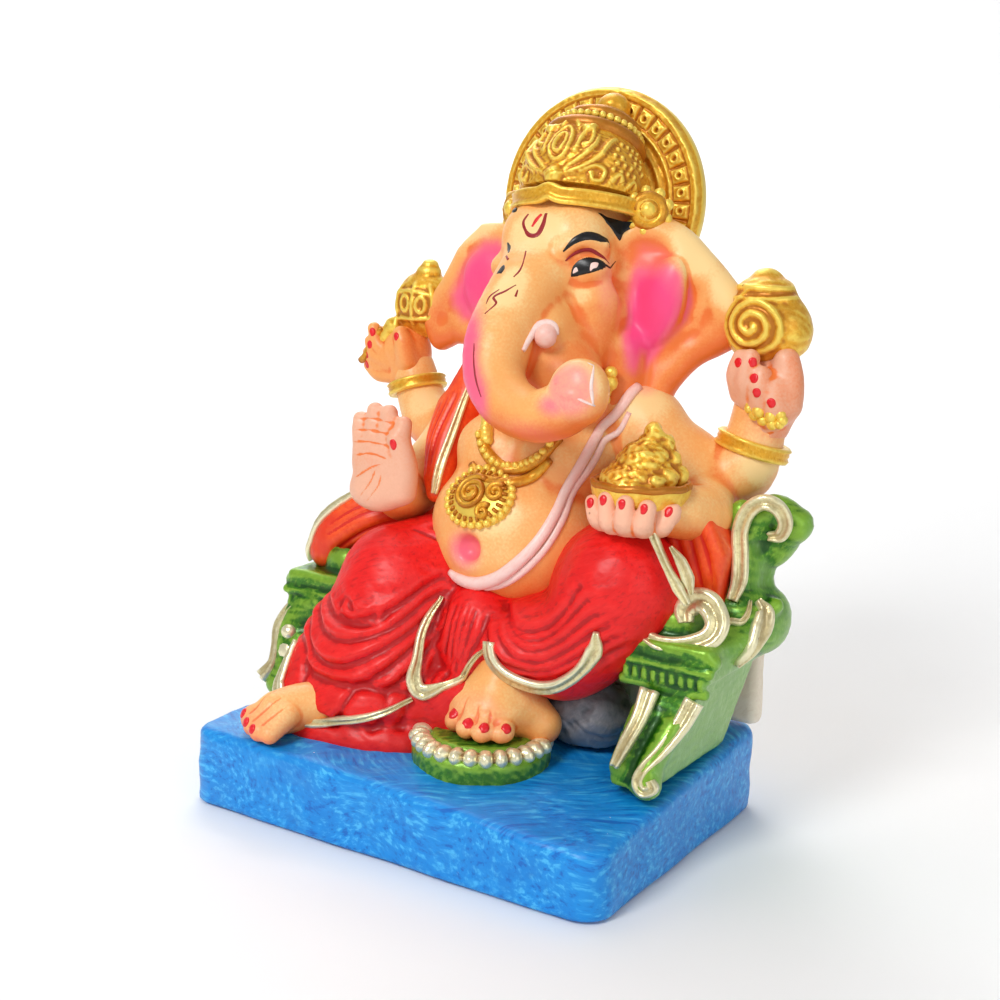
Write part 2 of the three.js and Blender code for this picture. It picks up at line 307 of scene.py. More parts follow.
def piece(name, verts, faces, material, replaces=(), marks=None):
    mesh = bpy.data.meshes.new(name)
    faces = [np.asarray(f) for f in (faces if isinstance(faces, list) else [faces]) if len(f)]
    sizes = np.concatenate([np.full(len(f), f.shape[1]) for f in faces])
    loops = np.concatenate([f.ravel() for f in faces]).astype(np.int32)
    mesh.vertices.add(len(verts))
    mesh.vertices.foreach_set("co", (np.asarray(verts) * mm).astype(np.float32).ravel())
    mesh.loops.add(len(loops))
    mesh.loops.foreach_set("vertex_index", loops)
    mesh.polygons.add(len(sizes))
    mesh.polygons.foreach_set("loop_start", np.concatenate([[0], np.cumsum(sizes)[:-1]]).astype(np.int32))
    mesh.update(calc_edges=True)
    mesh.validate()
    mesh.polygons.foreach_set("use_smooth", np.full(len(mesh.polygons), True))
    for mark, values in (marks or {}).items():
        layer = mesh.attributes.new(mark, "FLOAT", "POINT")
        layer.data.foreach_set("value", np.broadcast_to(values, len(verts)).astype(np.float32))
    thing = bpy.data.objects.new(name, mesh)
    bpy.context.scene.collection.objects.link(thing)
    mesh.materials.append(material)
    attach(thing, "root")
    if replaces:
        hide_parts(*replaces)
    return thing


def hollowness(verts, faces, rounds=8):
    soft = relaxed(verts, faces, rounds, 0.6)
    return ((soft - verts) * normalsOf(verts, faces)).sum(1)  # above zero in a recess, below on a ridge


def together(parts):
    verts, faces, start = [], [], 0
    for v, f in parts:
        verts.append(v)
        faces.append(np.asarray(f) + start)
        start += len(v)
    return np.concatenate(verts), np.concatenate(faces)


def joinedRings(rows, around):
    ring = np.arange(around)
    step = np.roll(ring, -1)
    return [np.stack([i * around + ring, i * around + step, (i + 1) * around + step,
                      (i + 1) * around + ring], 1)
            for i in range(rows - 1)]


def tubeFaces(rows, around):
    # the two points that follow the rings are the hubs of the first and the last end
    ring = np.arange(around)
    step = np.roll(ring, -1)
    last, hub = (rows - 1) * around, np.full(around, rows * around)
    ends = [np.stack([step, ring, hub, hub], 1), np.stack([last + ring, last + step, hub + 1, hub + 1], 1)]
    return np.concatenate(joinedRings(rows, around) + ends)


def sweep(path, section, width=1.0, height=1.0, up=(0, 0, 1)):
    path = np.array(path, float)
    n, m = len(path), len(section)
    width, height = np.broadcast_to(width, n), np.broadcast_to(height, n)
    along = np.gradient(path, axis=0)
    along /= np.linalg.norm(along, axis=1, keepdims=True) + 1e-9
    side = np.cross(along, np.broadcast_to(np.array(up, float), (n, 3)))
    side /= np.linalg.norm(side, axis=1, keepdims=True) + 1e-9
    top = np.cross(side, along)
    section = np.array(section, float)
    verts = (path[:, None] + side[:, None] * (section[None, :, :1] * width[:, None, None])
             + top[:, None] * (section[None, :, 1:] * height[:, None, None])).reshape(-1, 3)
    return np.concatenate([verts, path[:1], path[-1:]]), tubeFaces(n, m)


def asSweep(faces):
    point = faces[:, 2] == faces[:, 3]
    return [faces[~point], faces[point][:, :3]]


roundSection = [(math.cos(a), math.sin(a)) for a in np.linspace(0, 2 * math.pi, 17)[:-1]]


def turnedShape(axis, profile, around):
    profile = np.array(profile, float)
    angles = np.linspace(0, 2 * math.pi, around, endpoint=False)
    r, z = profile[:, 0][:, None], profile[:, 1][:, None]
    x = axis[0] + r * np.cos(angles)
    y = axis[1] + r * np.sin(angles)
    verts = np.stack([x, y, z + 0 * x], 2).reshape(-1, 3)
    hubs = [(axis[0], axis[1], profile[0, 1]), (axis[0], axis[1], profile[-1, 1])]
    return np.concatenate([verts, hubs]), tubeFaces(len(profile), around)


# A stroke of thick paint that lies on a sculpted surface.
def stroke(ground, points, widths, lift=0.12, per=6):
    path = flowing(points, per)
    n = len(path)
    widths = np.interp(np.linspace(0, 1, n), np.linspace(0, 1, len(widths)), widths)
    path = ground.onto(path)
    up = ground.slope(path)
    along = np.gradient(path, axis=0)
    along /= np.linalg.norm(along, axis=1, keepdims=True) + 1e-9
    side = np.cross(along, up)
    rows = []
    profile = [(-1, -0.25), (-0.85, 0.55), (-0.4, 0.95), (0, 1), (0.4, 0.95), (0.85, 0.55), (1, -0.25)]
    for u, h in profile:
        spot = ground.onto(path + side * (u * widths)[:, None], 5)
        rows.append(spot + ground.slope(spot) * (lift * h))
    rows.append(path - up * 0.6)
    verts = np.stack(rows, 1).reshape(-1, 3)
    return np.concatenate([verts, path[:1], path[-1:]]), tubeFaces(n, len(rows))


# A filled spot of paint inside a closed outline.
def patch(ground, outline, lift=0.12, rings=5, per=5):
    edge = closedLoop(outline, per)
    hub = edge.mean(0)
    m = len(edge)
    rows = []
    for k in range(rings):
        share = 1 - k / rings
        spot = ground.onto(hub + (edge - hub) * share, 6)
        rows.append(spot + ground.slope(spot) * lift * (-0.25 if k == 0 else min(1, 0.5 + 0.3 * k)))
    top = ground.onto(hub[None], 6)
    rows.append(top + ground.slope(top) * lift)
    verts = np.concatenate([rows[0] - ground.slope(rows[0]) * 0.6] + rows)
    ring = np.arange(m)
    step = np.roll(ring, -1)
    faces = joinedRings(rings + 1, m)
    hubs = len(verts) - 1
    last = rings * m
    faces.append(np.stack([last + ring, last + step, np.full(m, hubs), np.full(m, hubs)], 1))
    verts = np.concatenate([verts, (hub[None] - ground.slope(hub[None]) * 0.8)])
    faces.append(np.stack([step, ring, np.full(m, hubs + 1), np.full(m, hubs + 1)], 1))
    faces = np.concatenate(faces)
    # the outline may run either way round, so its faces are turned to look outwards
    n = normalsOf(verts[:-1], faces[:-m])
    if (n * ground.slope(verts[:-1])).sum() < 0:
        faces = np.where((faces[:, 2] == faces[:, 3])[:, None], faces[:, [1, 0, 2, 3]], faces[:, ::-1])
    return verts, faces


def nailDrop(ground, at, size, tilt=0.0, lift=0.28):
    at = ground.onto(np.array([at], float))[0]
    up = ground.slope(at[None])[0]
    side = np.cross(up, (0, 0, 1.0))
    side /= np.linalg.norm(side)
    tall = np.cross(side, up)
    c, s = math.cos(math.radians(tilt)), math.sin(math.radians(tilt))
    side, tall = c * side + s * tall, -s * side + c * tall
    outline = [at + side * size[0] * math.cos(a) + tall * size[1] * math.sin(a)
               for a in np.linspace(0, 2 * math.pi, 9)[:-1]]
    return patch(ground, outline, lift, 4, 3)


# Paint. Shared effects are shader groups that hand back colours, masks and heights.
def addNode(tree, kind, setup=None, feeds=None):
    n = tree.nodes.new(kind)
    for key, value in (setup or {}).items():
        setattr(n, key, value)
    for key, value in (feeds or {}).items():
        if isinstance(value, bpy.types.NodeSocket):
            tree.links.new(value, n.inputs[key])
        else:
            n.inputs[key].default_value = value
    return n


def newGroup(name, takes, gives):
    tree = bpy.data.node_groups.new(name, "ShaderNodeTree")
    for label, kind, value in takes:
        socket = tree.interface.new_socket(label, in_out="INPUT", socket_type=kind)
        socket.default_value = value
    for label, kind in gives:
        tree.interface.new_socket(label, in_out="OUTPUT", socket_type=kind)
    return tree, tree.nodes.new("NodeGroupInput"), tree.nodes.new("NodeGroupOutput")


def mixed(tree, share, first, second, blend="MIX"):
    n = tree.nodes.new("ShaderNodeMix")
    n.data_type = "RGBA"
    n.blend_type = blend
    for socket, value in ((n.inputs[0], share), (n.inputs[6], first), (n.inputs[7], second)):
        if isinstance(value, bpy.types.NodeSocket):
            tree.links.new(value, socket)
        else:
            socket.default_value = value if socket is n.inputs[0] else (*value[:3], 1)
    return n.outputs[2]


def figured(tree, operation, *values, clamp=False):
    n = tree.nodes.new("ShaderNodeMath")
    n.operation = operation
    n.use_clamp = clamp
    for socket, value in zip(n.inputs, values):
        if isinstance(value, bpy.types.NodeSocket):
            tree.links.new(value, socket)
        else:
            socket.default_value = value
    return n.outputs[0]


def stepped(tree, value, low, high):
    n = addNode(tree, "ShaderNodeMapRange", {"interpolation_type": "SMOOTHSTEP"}, {"Value": value})
    for label, limit in (("From Min", low), ("From Max", high)):
        if isinstance(limit, bpy.types.NodeSocket):
            tree.links.new(limit, n.inputs[label])
        else:
            n.inputs[label].default_value = limit
    return n.outputs["Result"]


def objectPlace(tree):
    return addNode(tree, "ShaderNodeTexCoord").outputs["Object"]


def speckle(tree, place, scale, detail=2.0):
    return addNode(tree, "ShaderNodeTexNoise", None, {"Vector": place, "Scale": scale,
            "Detail": detail}).outputs["Fac"]


# Mixes towards a second colour by a mask; the paints use it for painted shade in recesses and pinholes and
# painted highlights on ridges.
def paintedLight(tree, mask, amount, colour, paint):
    return mixed(tree, figured(tree, "MULTIPLY", mask, amount), colour, paint)


colourSocket, numberSocket, arrowSocket = "NodeSocketColor", "NodeSocketFloat", "NodeSocketVector"


def makeBrushing():
    tree, takes, gives = newGroup("brushing", [
        ("Colour", colourSocket, (0.5, 0.5, 0.5, 1)), ("Light", colourSocket, (0.8, 0.8, 0.8, 1)),
        ("Dark", colourSocket, (0.2, 0.2, 0.2, 1)), ("Turn", arrowSocket, (0, 0, 0)),
        ("Stretch", arrowSocket, (60, 300, 300)), ("Streaks", numberSocket, 0.5),
        ("Blotches", numberSocket, 0.4)],
        [("Colour", colourSocket), ("Height", numberSocket), ("Streak", numberSocket)])
    place = objectPlace(tree)
    bend = addNode(tree, "ShaderNodeTexNoise", None, {"Vector": place, "Scale": 28.0, "Detail": 1.0})
    bent = addNode(tree, "ShaderNodeVectorMath", {"operation": "MULTIPLY_ADD"},
                   {0: bend.outputs["Color"], 1: (0.02, 0.02, 0.02), 2: place}).outputs[0]
    turned = addNode(tree, "ShaderNodeVectorRotate", {"rotation_type": "EULER_XYZ"},
                     {"Vector": bent, "Rotation": takes.outputs["Turn"]}).outputs[0]
    drawn = addNode(tree, "ShaderNodeVectorMath", {"operation": "MULTIPLY"},
                    {0: turned, 1: takes.outputs["Stretch"]}).outputs[0]
    hairs = addNode(tree, "ShaderNodeTexNoise", None, {"Vector": drawn, "Scale": 4.0, "Detail": 4.0,
                                                       "Roughness": 0.62}).outputs["Fac"]
    blots = speckle(tree, place, 75.0, 3.0)
    light = figured(tree, "MULTIPLY", stepped(tree, hairs, 0.50, 0.68), takes.outputs["Streaks"])
    dark = figured(tree, "MULTIPLY", stepped(tree, hairs, 0.48, 0.32), takes.outputs["Streaks"])
    blot = figured(tree, "MULTIPLY", stepped(tree, blots, 0.52, 0.35), takes.outputs["Blotches"])
    colour = mixed(tree, light, takes.outputs["Colour"], takes.outputs["Light"])
    colour = mixed(tree, figured(tree, "MAXIMUM", dark, blot), colour, takes.outputs["Dark"])
    tree.links.new(colour, gives.inputs["Colour"])
    tree.links.new(hairs, gives.inputs["Height"])
    tree.links.new(light, gives.inputs["Streak"])
    return tree


# Recess and Ridge masks from the hollow attribute, used for painted shade in recesses and painted highlights on
# ridges.
def makeRelief():
    tree, takes, gives = newGroup("relief", [("Gain", numberSocket, 1.0), ("Ragged", numberSocket, 0.4)],
                                  [("Recess", numberSocket), ("Ridge", numberSocket)])
    hollow = addNode(tree, "ShaderNodeAttribute", {"attribute_name": "hollow"}).outputs["Fac"]
    place = objectPlace(tree)
    grain = speckle(tree, place, 650.0, 3.0)
    rough = figured(tree, "MULTIPLY", figured(tree, "SUBTRACT", grain, 0.5), takes.outputs["Ragged"])
    level = figured(tree, "ADD", figured(tree, "MULTIPLY", hollow, takes.outputs["Gain"]), rough)
    tree.links.new(stepped(tree, level, 0.05, 0.8), gives.inputs["Recess"])
    tree.links.new(stepped(tree, level, -0.05, -0.8), gives.inputs["Ridge"])
    return tree


def makePits():
    tree, takes, gives = newGroup("pits", [("Scale", numberSocket, 160.0), ("Share", numberSocket, 0.12),
                                           ("Size", numberSocket, 0.12)],
                                  [("Mask", numberSocket), ("Height", numberSocket)])
    place = objectPlace(tree)
    cells = addNode(tree, "ShaderNodeTexVoronoi", {"feature": "F1"},
                    {"Vector": place, "Scale": takes.outputs["Scale"], "Randomness": 1.0})
    luck = addNode(tree, "ShaderNodeSeparateColor", None, {"Color": cells.outputs["Color"]}).outputs["Red"]
    chosen = figured(tree, "LESS_THAN", luck, takes.outputs["Share"])
    shaped = stepped(tree, cells.outputs["Distance"], takes.outputs["Size"], 0.02)
    mask = figured(tree, "MULTIPLY", shaped, chosen)
    tree.links.new(mask, gives.inputs["Mask"])
    tree.links.new(figured(tree, "MULTIPLY", mask, -1.0), gives.inputs["Height"])
    return tree


def makeChips():
    tree, takes, gives = newGroup("chips", [("Scale", numberSocket, 90.0), ("Cover", numberSocket, 0.3)],
                                  [("Mask", numberSocket)])
    place = objectPlace(tree)
    big = addNode(tree, "ShaderNodeTexNoise", None, {"Vector": place, "Scale": takes.outputs["Scale"],
                                                     "Detail": 5.0, "Roughness": 0.7}).outputs["Fac"]
    edge = figured(tree, "SUBTRACT", 0.86, figured(tree, "MULTIPLY", takes.outputs["Cover"], 0.4))
    mask = stepped(tree, big, edge, figured(tree, "ADD", edge, 0.02))
    tree.links.new(mask, gives.inputs["Mask"])
    return tree


brushing, relief, pits, chips = makeBrushing(), makeRelief(), makePits(), makeChips()


def use(tree, group, **feeds):
    n = tree.nodes.new("ShaderNodeGroup")
    n.node_tree = group
    for label, value in feeds.items():
        socket = n.inputs[label]
        if isinstance(value, bpy.types.NodeSocket):
            tree.links.new(value, socket)
        elif socket.type == "RGBA":
            socket.default_value = (*value[:3], 1)
        else:
            socket.default_value = value
    return n.outputs


def brushed(tree, look, turn, stretch, streaks, blotches):
    return use(tree, brushing, Colour=look["colour"], Light=look["light"], Dark=look["dark"], Turn=turn,
               Stretch=stretch, Streaks=streaks, Blotches=blotches)


def mark(tree, name):
    return addNode(tree, "ShaderNodeAttribute", {"attribute_name": name}).outputs["Fac"]


def newPaint(name, rough, metallic=0.0, coat=0.0):
    mat = bpy.data.materials.new(name)
    mat.use_nodes = True
    tree = mat.node_tree
    shader = tree.nodes["Principled BSDF"]
    shader.inputs["Roughness"].default_value = rough
    shader.inputs["Metallic"].default_value = metallic
    shader.inputs["Coat Weight"].default_value = coat
    shader.inputs["Specular IOR Level"].default_value = 0.35
    shader.inputs["Coat Roughness"].default_value = 0.25
    return mat, tree, shader


def finish(tree, shader, colour, heights, strength=0.5, distance=0.0003):
    tree.links.new(colour, shader.inputs["Base Color"])
    total = None
    for value, amount in heights:
        part = figured(tree, "MULTIPLY", value, amount)
        total = part if total is None else figured(tree, "ADD", total, part)
    bump = addNode(tree, "ShaderNodeBump", None, {"Height": total, "Strength": strength,
            "Distance": distance})
    tree.links.new(bump.outputs["Normal"], shader.inputs["Normal"])


bluePaintLook = {"colour": (0.004, 0.27, 0.75), "light": (0.07, 0.50, 0.90), "dark": (0.002, 0.14, 0.55),
                 "chip": (0.85, 0.82, 0.78), "roughness": 0.42}


def makeBluePaint():
    look = bluePaintLook
    mat, tree, shader = newPaint("bluePaint", look["roughness"], coat=0.15)
    across = brushed(tree, look, (0, 0, 0.5), (18, 170, 170), 1.0, 0.25)
    along = brushed(tree, look, (0, 0, -0.6), (16, 150, 150), 1.0, 0.25)
    place = objectPlace(tree)
    where = speckle(tree, place, 22.0)
    share = stepped(tree, where, 0.42, 0.56)
    colour = mixed(tree, share, across["Colour"], along["Colour"])
    shape = use(tree, relief, Gain=1.2, Ragged=1.2)
    # Painted shade in recesses.
    colour = paintedLight(tree, shape["Recess"], 0.6, colour, look["dark"])
    bits = use(tree, chips, Scale=120.0, Cover=0.40)["Mask"]
    hole = use(tree, pits, Scale=110.0, Share=0.05, Size=0.10)
    colour = mixed(tree, figured(tree, "MULTIPLY", bits, mark(tree, "top")), colour, look["chip"])
    # Painted shade inside pinholes.
    colour = paintedLight(tree, hole["Mask"], 0.8, colour, (0.004, 0.02, 0.08))
    finish(tree, shader, colour, [(across["Height"], 0.5), (along["Height"], 0.5), (hole["Mask"], -1.5),
                                  (bits, -0.4)], 0.45, 0.0004)
    return mat


redPaintLook = {"colour": (0.80, 0.008, 0.008), "light": (0.90, 0.025, 0.02), "dark": (0.36, 0.002, 0.004)}


def makeRedPaint():
    look = redPaintLook
    mat, tree, shader = newPaint("redPaint", 0.42, coat=0.06)
    hairs = brushed(tree, look, (0.6, 0.5, 0.4), (40, 190, 190), 0.45, 0.2)
    shape = use(tree, relief, Gain=1.0, Ragged=0.3)
    # Painted shade in recesses and painted highlights on ridges.
    colour = paintedLight(tree, shape["Recess"], 0.75, hairs["Colour"], look["dark"])
    colour = paintedLight(tree, shape["Ridge"], 0.35, colour, look["light"])
    hole = use(tree, pits, Scale=120.0, Share=0.03, Size=0.08)
    # Painted shade inside pinholes.
    colour = paintedLight(tree, hole["Mask"], 0.7, colour, (0.05, 0.0, 0.0))
    finish(tree, shader, colour, [(hairs["Height"], 0.8), (hole["Mask"], -1.5)], 0.35, 0.0003)
    return mat


orangePaintLook = {"colour": (0.90, 0.085, 0.012), "light": (0.95, 0.19, 0.03), "dark": (0.72, 0.02, 0.006)}


def makeOrangePaint():
    look = orangePaintLook
    mat, tree, shader = newPaint("orangePaint", 0.4, coat=0.2)
    hairs = brushed(tree, look, (0.1, 0.5, 0.9), (70, 200, 200), 0.4, 0.7)
    shape = use(tree, relief, Gain=1.0, Ragged=0.3)
    # Painted shade in recesses.
    colour = mixed(tree, shape["Recess"], hairs["Colour"], look["dark"])
    finish(tree, shader, colour, [(hairs["Height"], 0.8)], 0.3)
    return mat


greenPaintLook = {"colour": (0.045, 0.21, 0.006), "light": (0.34, 0.60, 0.05),
                  "dark": (0.004, 0.055, 0.003),
                  "plain": (0.19, 0.42, 0.06), "roughness": 0.34, "metallic": 0.35}


def makeGreenPaint():
    look = greenPaintLook
    mat, tree, shader = newPaint("greenPaint", look["roughness"], look["metallic"], 0.3)
    hairs = brushed(tree, look, (0, 0.9, 0.3), (70, 260, 260), 0.45, 0.5)
    shape = use(tree, relief, Gain=1.6, Ragged=1.0)
    # Painted highlights on ridges and painted shade in recesses.
    colour = paintedLight(tree, shape["Ridge"], 0.6, hairs["Colour"], look["light"])
    colour = paintedLight(tree, shape["Recess"], 0.9, colour, look["dark"])
    broad = use(tree, brushing, Colour=look["plain"], Light=(0.33, 0.56, 0.20), Dark=(0.09, 0.30, 0.02),
                Turn=(0, 0.9, 0.3), Stretch=(30, 150, 150), Streaks=0.5, Blotches=0.25)
    colour = mixed(tree, mark(tree, "plain"), colour, broad["Colour"])
    tree.links.new(figured(tree, "MULTIPLY_ADD", mark(tree, "plain"), -look["metallic"], look["metallic"]),
                   shader.inputs["Metallic"])
    hole = use(tree, pits, Scale=105.0, Share=0.05, Size=0.09)
    # Painted shade inside pinholes.
    colour = paintedLight(tree, hole["Mask"], 0.8, colour, (0.01, 0.05, 0.01))
    finish(tree, shader, colour, [(hairs["Height"], 0.9), (hole["Mask"], -1.5)], 0.35, 0.0003)
    return mat


goldPaintLook = {"colour": (0.82, 0.41, 0.025), "light": (0.98, 0.74, 0.13), "dark": (0.42, 0.12, 0.008),
                 "metallic": 0.45, "roughness": 0.36}
paleGoldLook = {"colour": (0.72, 0.64, 0.34), "light": (0.95, 0.90, 0.62), "dark": (0.28, 0.13, 0.035),
                "metallic": 0.6, "roughness": 0.28}


def makeGoldPaint(name, look, gain=1.0):
    mat, tree, shader = newPaint(name, look["roughness"], look["metallic"], 0.15)
    hairs = brushed(tree, look, (0.4, 0.2, 0.8), (150, 260, 260), 0.35, 0.35)
    shape = use(tree, relief, Gain=gain, Ragged=0.9)
    # Painted highlights on ridges and painted shade in recesses.
    colour = paintedLight(tree, shape["Ridge"], 0.8, hairs["Colour"], look["light"])
    colour = paintedLight(tree, shape["Recess"], 0.8, colour, look["dark"])
    place = objectPlace(tree)
    grain = speckle(tree, place, 900.0, 3.0)
    hole = use(tree, pits, Scale=300.0, Share=0.03, Size=0.14)
    # Painted shade inside pinholes.
    colour = paintedLight(tree, hole["Mask"], 0.9, colour, (0.10, 0.03, 0.01))
    finish(tree, shader, colour, [(grain, 0.8), (hairs["Height"], 0.5), (hole["Mask"], -1.5)], 0.45, 0.0003)
    return mat


# Skin colours: pale is the painted highlight, peach the middle tone, orange the painted shade and also the
# idol's airbrushed orange, brown the painted deep shade.
skinPaintLook = {"highlightPale": (0.95, 0.66, 0.29), "peach": (0.92, 0.42, 0.125), "orange": (0.84, 0.19, 0.035),
                 "deepShadeBrown": (0.46, 0.085, 0.015), "pink": (0.93, 0.13, 0.24), "magenta": (0.93, 0.06, 0.24),
                 "roughness": 0.40}


def makeSkinPaint(name="skinPaint", tint=None):
    look = skinPaintLook
    mat, tree, shader = newPaint(name, look["roughness"], coat=0.12)
    place = objectPlace(tree)
    soft = speckle(tree, place, 55.0, 3.0)
    spray = speckle(tree, place, 1400.0, 2.0)
    shape = use(tree, relief, Gain=1.0, Ragged=0.25)
    drift = figured(tree, "MULTIPLY_ADD", soft, 0.5, -0.25)
    drift = figured(tree, "ADD", drift, figured(tree, "MULTIPLY_ADD", spray, 0.3, -0.15))
    # The per-vertex mask plus the recesses paints shade from pale through peach to orange, together with the
    # idol's airbrushed orange; the second mask paints brown deep shade.
    tan = figured(tree, "ADD", mark(tree, "tan"), figured(tree, "MULTIPLY", shape["Recess"], 0.45))
    tan = figured(tree, "ADD", tan, drift, clamp=True)
    colour = mixed(tree, stepped(tree, tan, 0.0, 0.35), tint or look["highlightPale"], look["peach"] if not tint else
                   tuple(0.9 * t for t in tint))
    colour = mixed(tree, stepped(tree, tan, 0.28, 0.85), colour, look["orange"])
    colour = mixed(tree, stepped(tree, mark(tree, "deep"), 0.1, 1.0), colour, look["deepShadeBrown"])
    blush = figured(tree, "ADD", mark(tree, "blush"), figured(tree, "MULTIPLY", drift, 0.35), clamp=True)
    colour = mixed(tree, stepped(tree, blush, 0.05, 0.75), colour, look["pink"])
    colour = mixed(tree, stepped(tree, blush, 0.7, 1.1), colour, look["magenta"])
    # Pinholes are darkened as painted shade inside them.
    hole = use(tree, pits, Scale=95.0, Share=0.05, Size=0.055)
    colour = paintedLight(tree, hole["Mask"], 0.8, colour, (0.12, 0.03, 0.01))
    finish(tree, shader, colour, [(spray, 0.25), (soft, 0.4), (hole["Mask"], -1.2)], 0.3, 0.0003)
    return mat


def makePlainPaint(name, colour, rough, light=None, dark=None, coat=0.2, lumps=0.4):
    light = light or tuple(min(1, c * 1.15 + 0.02) for c in colour)
    dark = dark or tuple(c * 0.6 for c in colour)
    mat, tree, shader = newPaint(name, rough, coat=coat)
    hairs = use(tree, brushing, Colour=colour, Light=light, Dark=dark, Turn=(0.3, 0.7, 0.2),
                Stretch=(80, 260, 260), Streaks=0.3, Blotches=0.3)
    shape = use(tree, relief, Gain=1.0, Ragged=0.3)
    # Painted shade in recesses.
    tone = paintedLight(tree, shape["Recess"], 0.6, hairs["Colour"], dark)
    hole = use(tree, pits, Scale=180.0, Share=0.06, Size=0.09)
    # Painted shade inside pinholes.
    tone = paintedLight(tree, hole["Mask"], 0.5, tone, dark)
    finish(tree, shader, tone, [(hairs["Height"], lumps), (hole["Mask"], -1.0)], 0.35, 0.0003)
    return mat


print("paints")
bluePaint, redPaint = makeBluePaint(), makeRedPaint()
orangePaint, greenPaint = makeOrangePaint(), makeGreenPaint()
goldPaint = makeGoldPaint("goldPaint", goldPaintLook, 1.5)
paleGold = makeGoldPaint("paleGold", paleGoldLook, 1.6)
skinPaint = makeSkinPaint()
palmPaint = makeSkinPaint("palmPaint", (0.94, 0.50, 0.33))
whitePaint = makePlainPaint("whitePaint", (0.94, 0.72, 0.66), 0.38, light=(0.96, 0.86, 0.83),
                            dark=(0.88, 0.42, 0.34))
creamCast = makePlainPaint("creamCast", (0.90, 0.80, 0.66), 0.75, dark=(0.72, 0.56, 0.40), coat=0.0,
                           lumps=1.0)
greyPaint = makePlainPaint("greyPaint", (0.22, 0.22, 0.24), 0.4, light=(0.42, 0.40, 0.40),
                           dark=(0.07, 0.08, 0.10))
blackPaint = makePlainPaint("blackPaint", (0.006, 0.006, 0.007), 0.35, dark=(0.002, 0.002, 0.002))
maroonPaint = makePlainPaint("maroonPaint", (0.30, 0.006, 0.012), 0.4)
nailPaint = makePlainPaint("nailPaint", (0.78, 0.012, 0.02), 0.3)


# Sculpting helpers shared by the pieces below.
def sculpted(name, clay, material, replaces, marks=None, work=None):
    verts, faces = clay.skin()
    if work:
        verts = work(verts, normalsOf(verts, faces))
    found = {"hollow": evened(hollowness(verts, faces))}
    if marks:
        found.update(marks(verts, normalsOf(verts, faces)))
    return piece(name, verts, faces, material, replaces, found)


def evened(hollow):
    return np.clip(hollow / (np.percentile(np.abs(hollow), 96) + 1e-6), -1.5, 1.5)


def laid(name, parts, material, replaces=()):
    verts, faces = together(parts)
    found = {"hollow": evened(hollowness(verts, faces, 5)), "tan": 0.0, "blush": 0.0, "deep": 0.0}
    return piece(name, verts, asSweep(faces), material, replaces, found)


# A flat band with raised edges and a raised middle, for the painted mouldings.
bandSection = [(-1.0, -0.6), (-1.02, 0.2), (-0.9, 0.7), (-0.66, 0.95), (-0.42, 0.9), (-0.2, 0.62), (0, 0.5),
               (0.2, 0.62), (0.42, 0.9), (0.66, 0.95), (0.9, 0.7), (1.02, 0.2), (1.0, -0.6)]


def band(points, width, height, up, per=8):
    path = flowing(points, per)
    n = len(path)
    share = np.linspace(0, 1, n)
    width = np.interp(share, np.linspace(0, 1, len(np.atleast_1d(width))), np.atleast_1d(width))
    height = np.interp(share, np.linspace(0, 1, len(np.atleast_1d(height))), np.atleast_1d(height))
    return sweep(path, bandSection, width, height, up)


def leafOn(ground, points, width, height, per=8):
    path = ground.onto(flowing(points, per), 16)
    up = ground.slope(path)
    share = np.linspace(0, 1, len(path))
    width = np.interp(share, np.linspace(0, 1, len(width)), width)
    return sweep(path + up * 0.3, bandSection, width, height, up)


# The painted slab. Its top dips towards the front corners.
plinthForm = {"edge": 2.6, "corner": 8.0, "dipRight": 8.0, "dipLeft": 3.0}


def slabSurface(x, y):
    u = (x - slabLow[0]) / (slabHigh[0] - slabLow[0])
    v = 1 - (y - slabLow[1]) / (slabHigh[1] - slabLow[1])
    return slabTop - plinthForm["dipRight"] * np.clip(u * v, 0, 1) ** 1.4 - \
        plinthForm["dipLeft"] * np.clip((1 - u) * v, 0, 1) ** 1.4


def makePlinth():
    form = plinthForm
    clay = Clay(slabLow - 3, slabHigh + 3, 0.8)
    middle, half = (slabLow + slabHigh) / 2, (slabHigh - slabLow) / 2

    def distance(x, y, z):
        r, e = form["corner"], form["edge"]
        sag = 0.5 * np.sin(x * 0.11 + 1) + 0.4 * np.sin(y * 0.16) + 0.35 * np.sin(z * 0.5 + x * 0.2)
        qx, qy = np.abs(x - middle[0]) - half[0] + r + 0.5, np.abs(y - middle[1]) - half[1] + r + 0.5
        side = np.sqrt(np.maximum(qx, 0) ** 2 + np.maximum(qy, 0) ** 2) + np.minimum(np.maximum(qx, qy),
                0) - r
        side = side + 0.45 * sag + (slabTop - z) * -0.012 + e
        lift = z - slabSurface(x, y) + e + 0.25 * np.sin(x * 0.21 + y * 0.13) * np.sin(y * 0.19)
        rest = slabLow[2] - z + 0.3 + 0 * x + 0 * y
        top = np.sqrt(np.maximum(side, 0) ** 2 + np.maximum(lift, 0) ** 2) + np.minimum(np.maximum(side,
                lift), 0) - e
        return np.maximum(top, rest)
    clay.put(slabLow - 2, slabHigh + 2, distance, 0.1)

    def work(verts, normals):
        uneven = 0.22 * wobble(verts, 17) + 0.10 * wobble(verts, 5, 3)
        uneven = uneven * ease(verts[:, 2], 0.5, 3)
        verts = verts + normals * uneven[:, None]
        verts[:, 2] = np.maximum(verts[:, 2], slabLow[2])
        return verts
    sculpted("slabPlinth", clay, bluePaint, ["plinth"],
             lambda verts, normals: {"top": ease(normals[:, 2], 0.5, 0.9) * 0.9 + 0.1}, work)


stoolForm = {"middle": (13, -19), "beads": 27, "lift": 1.0}


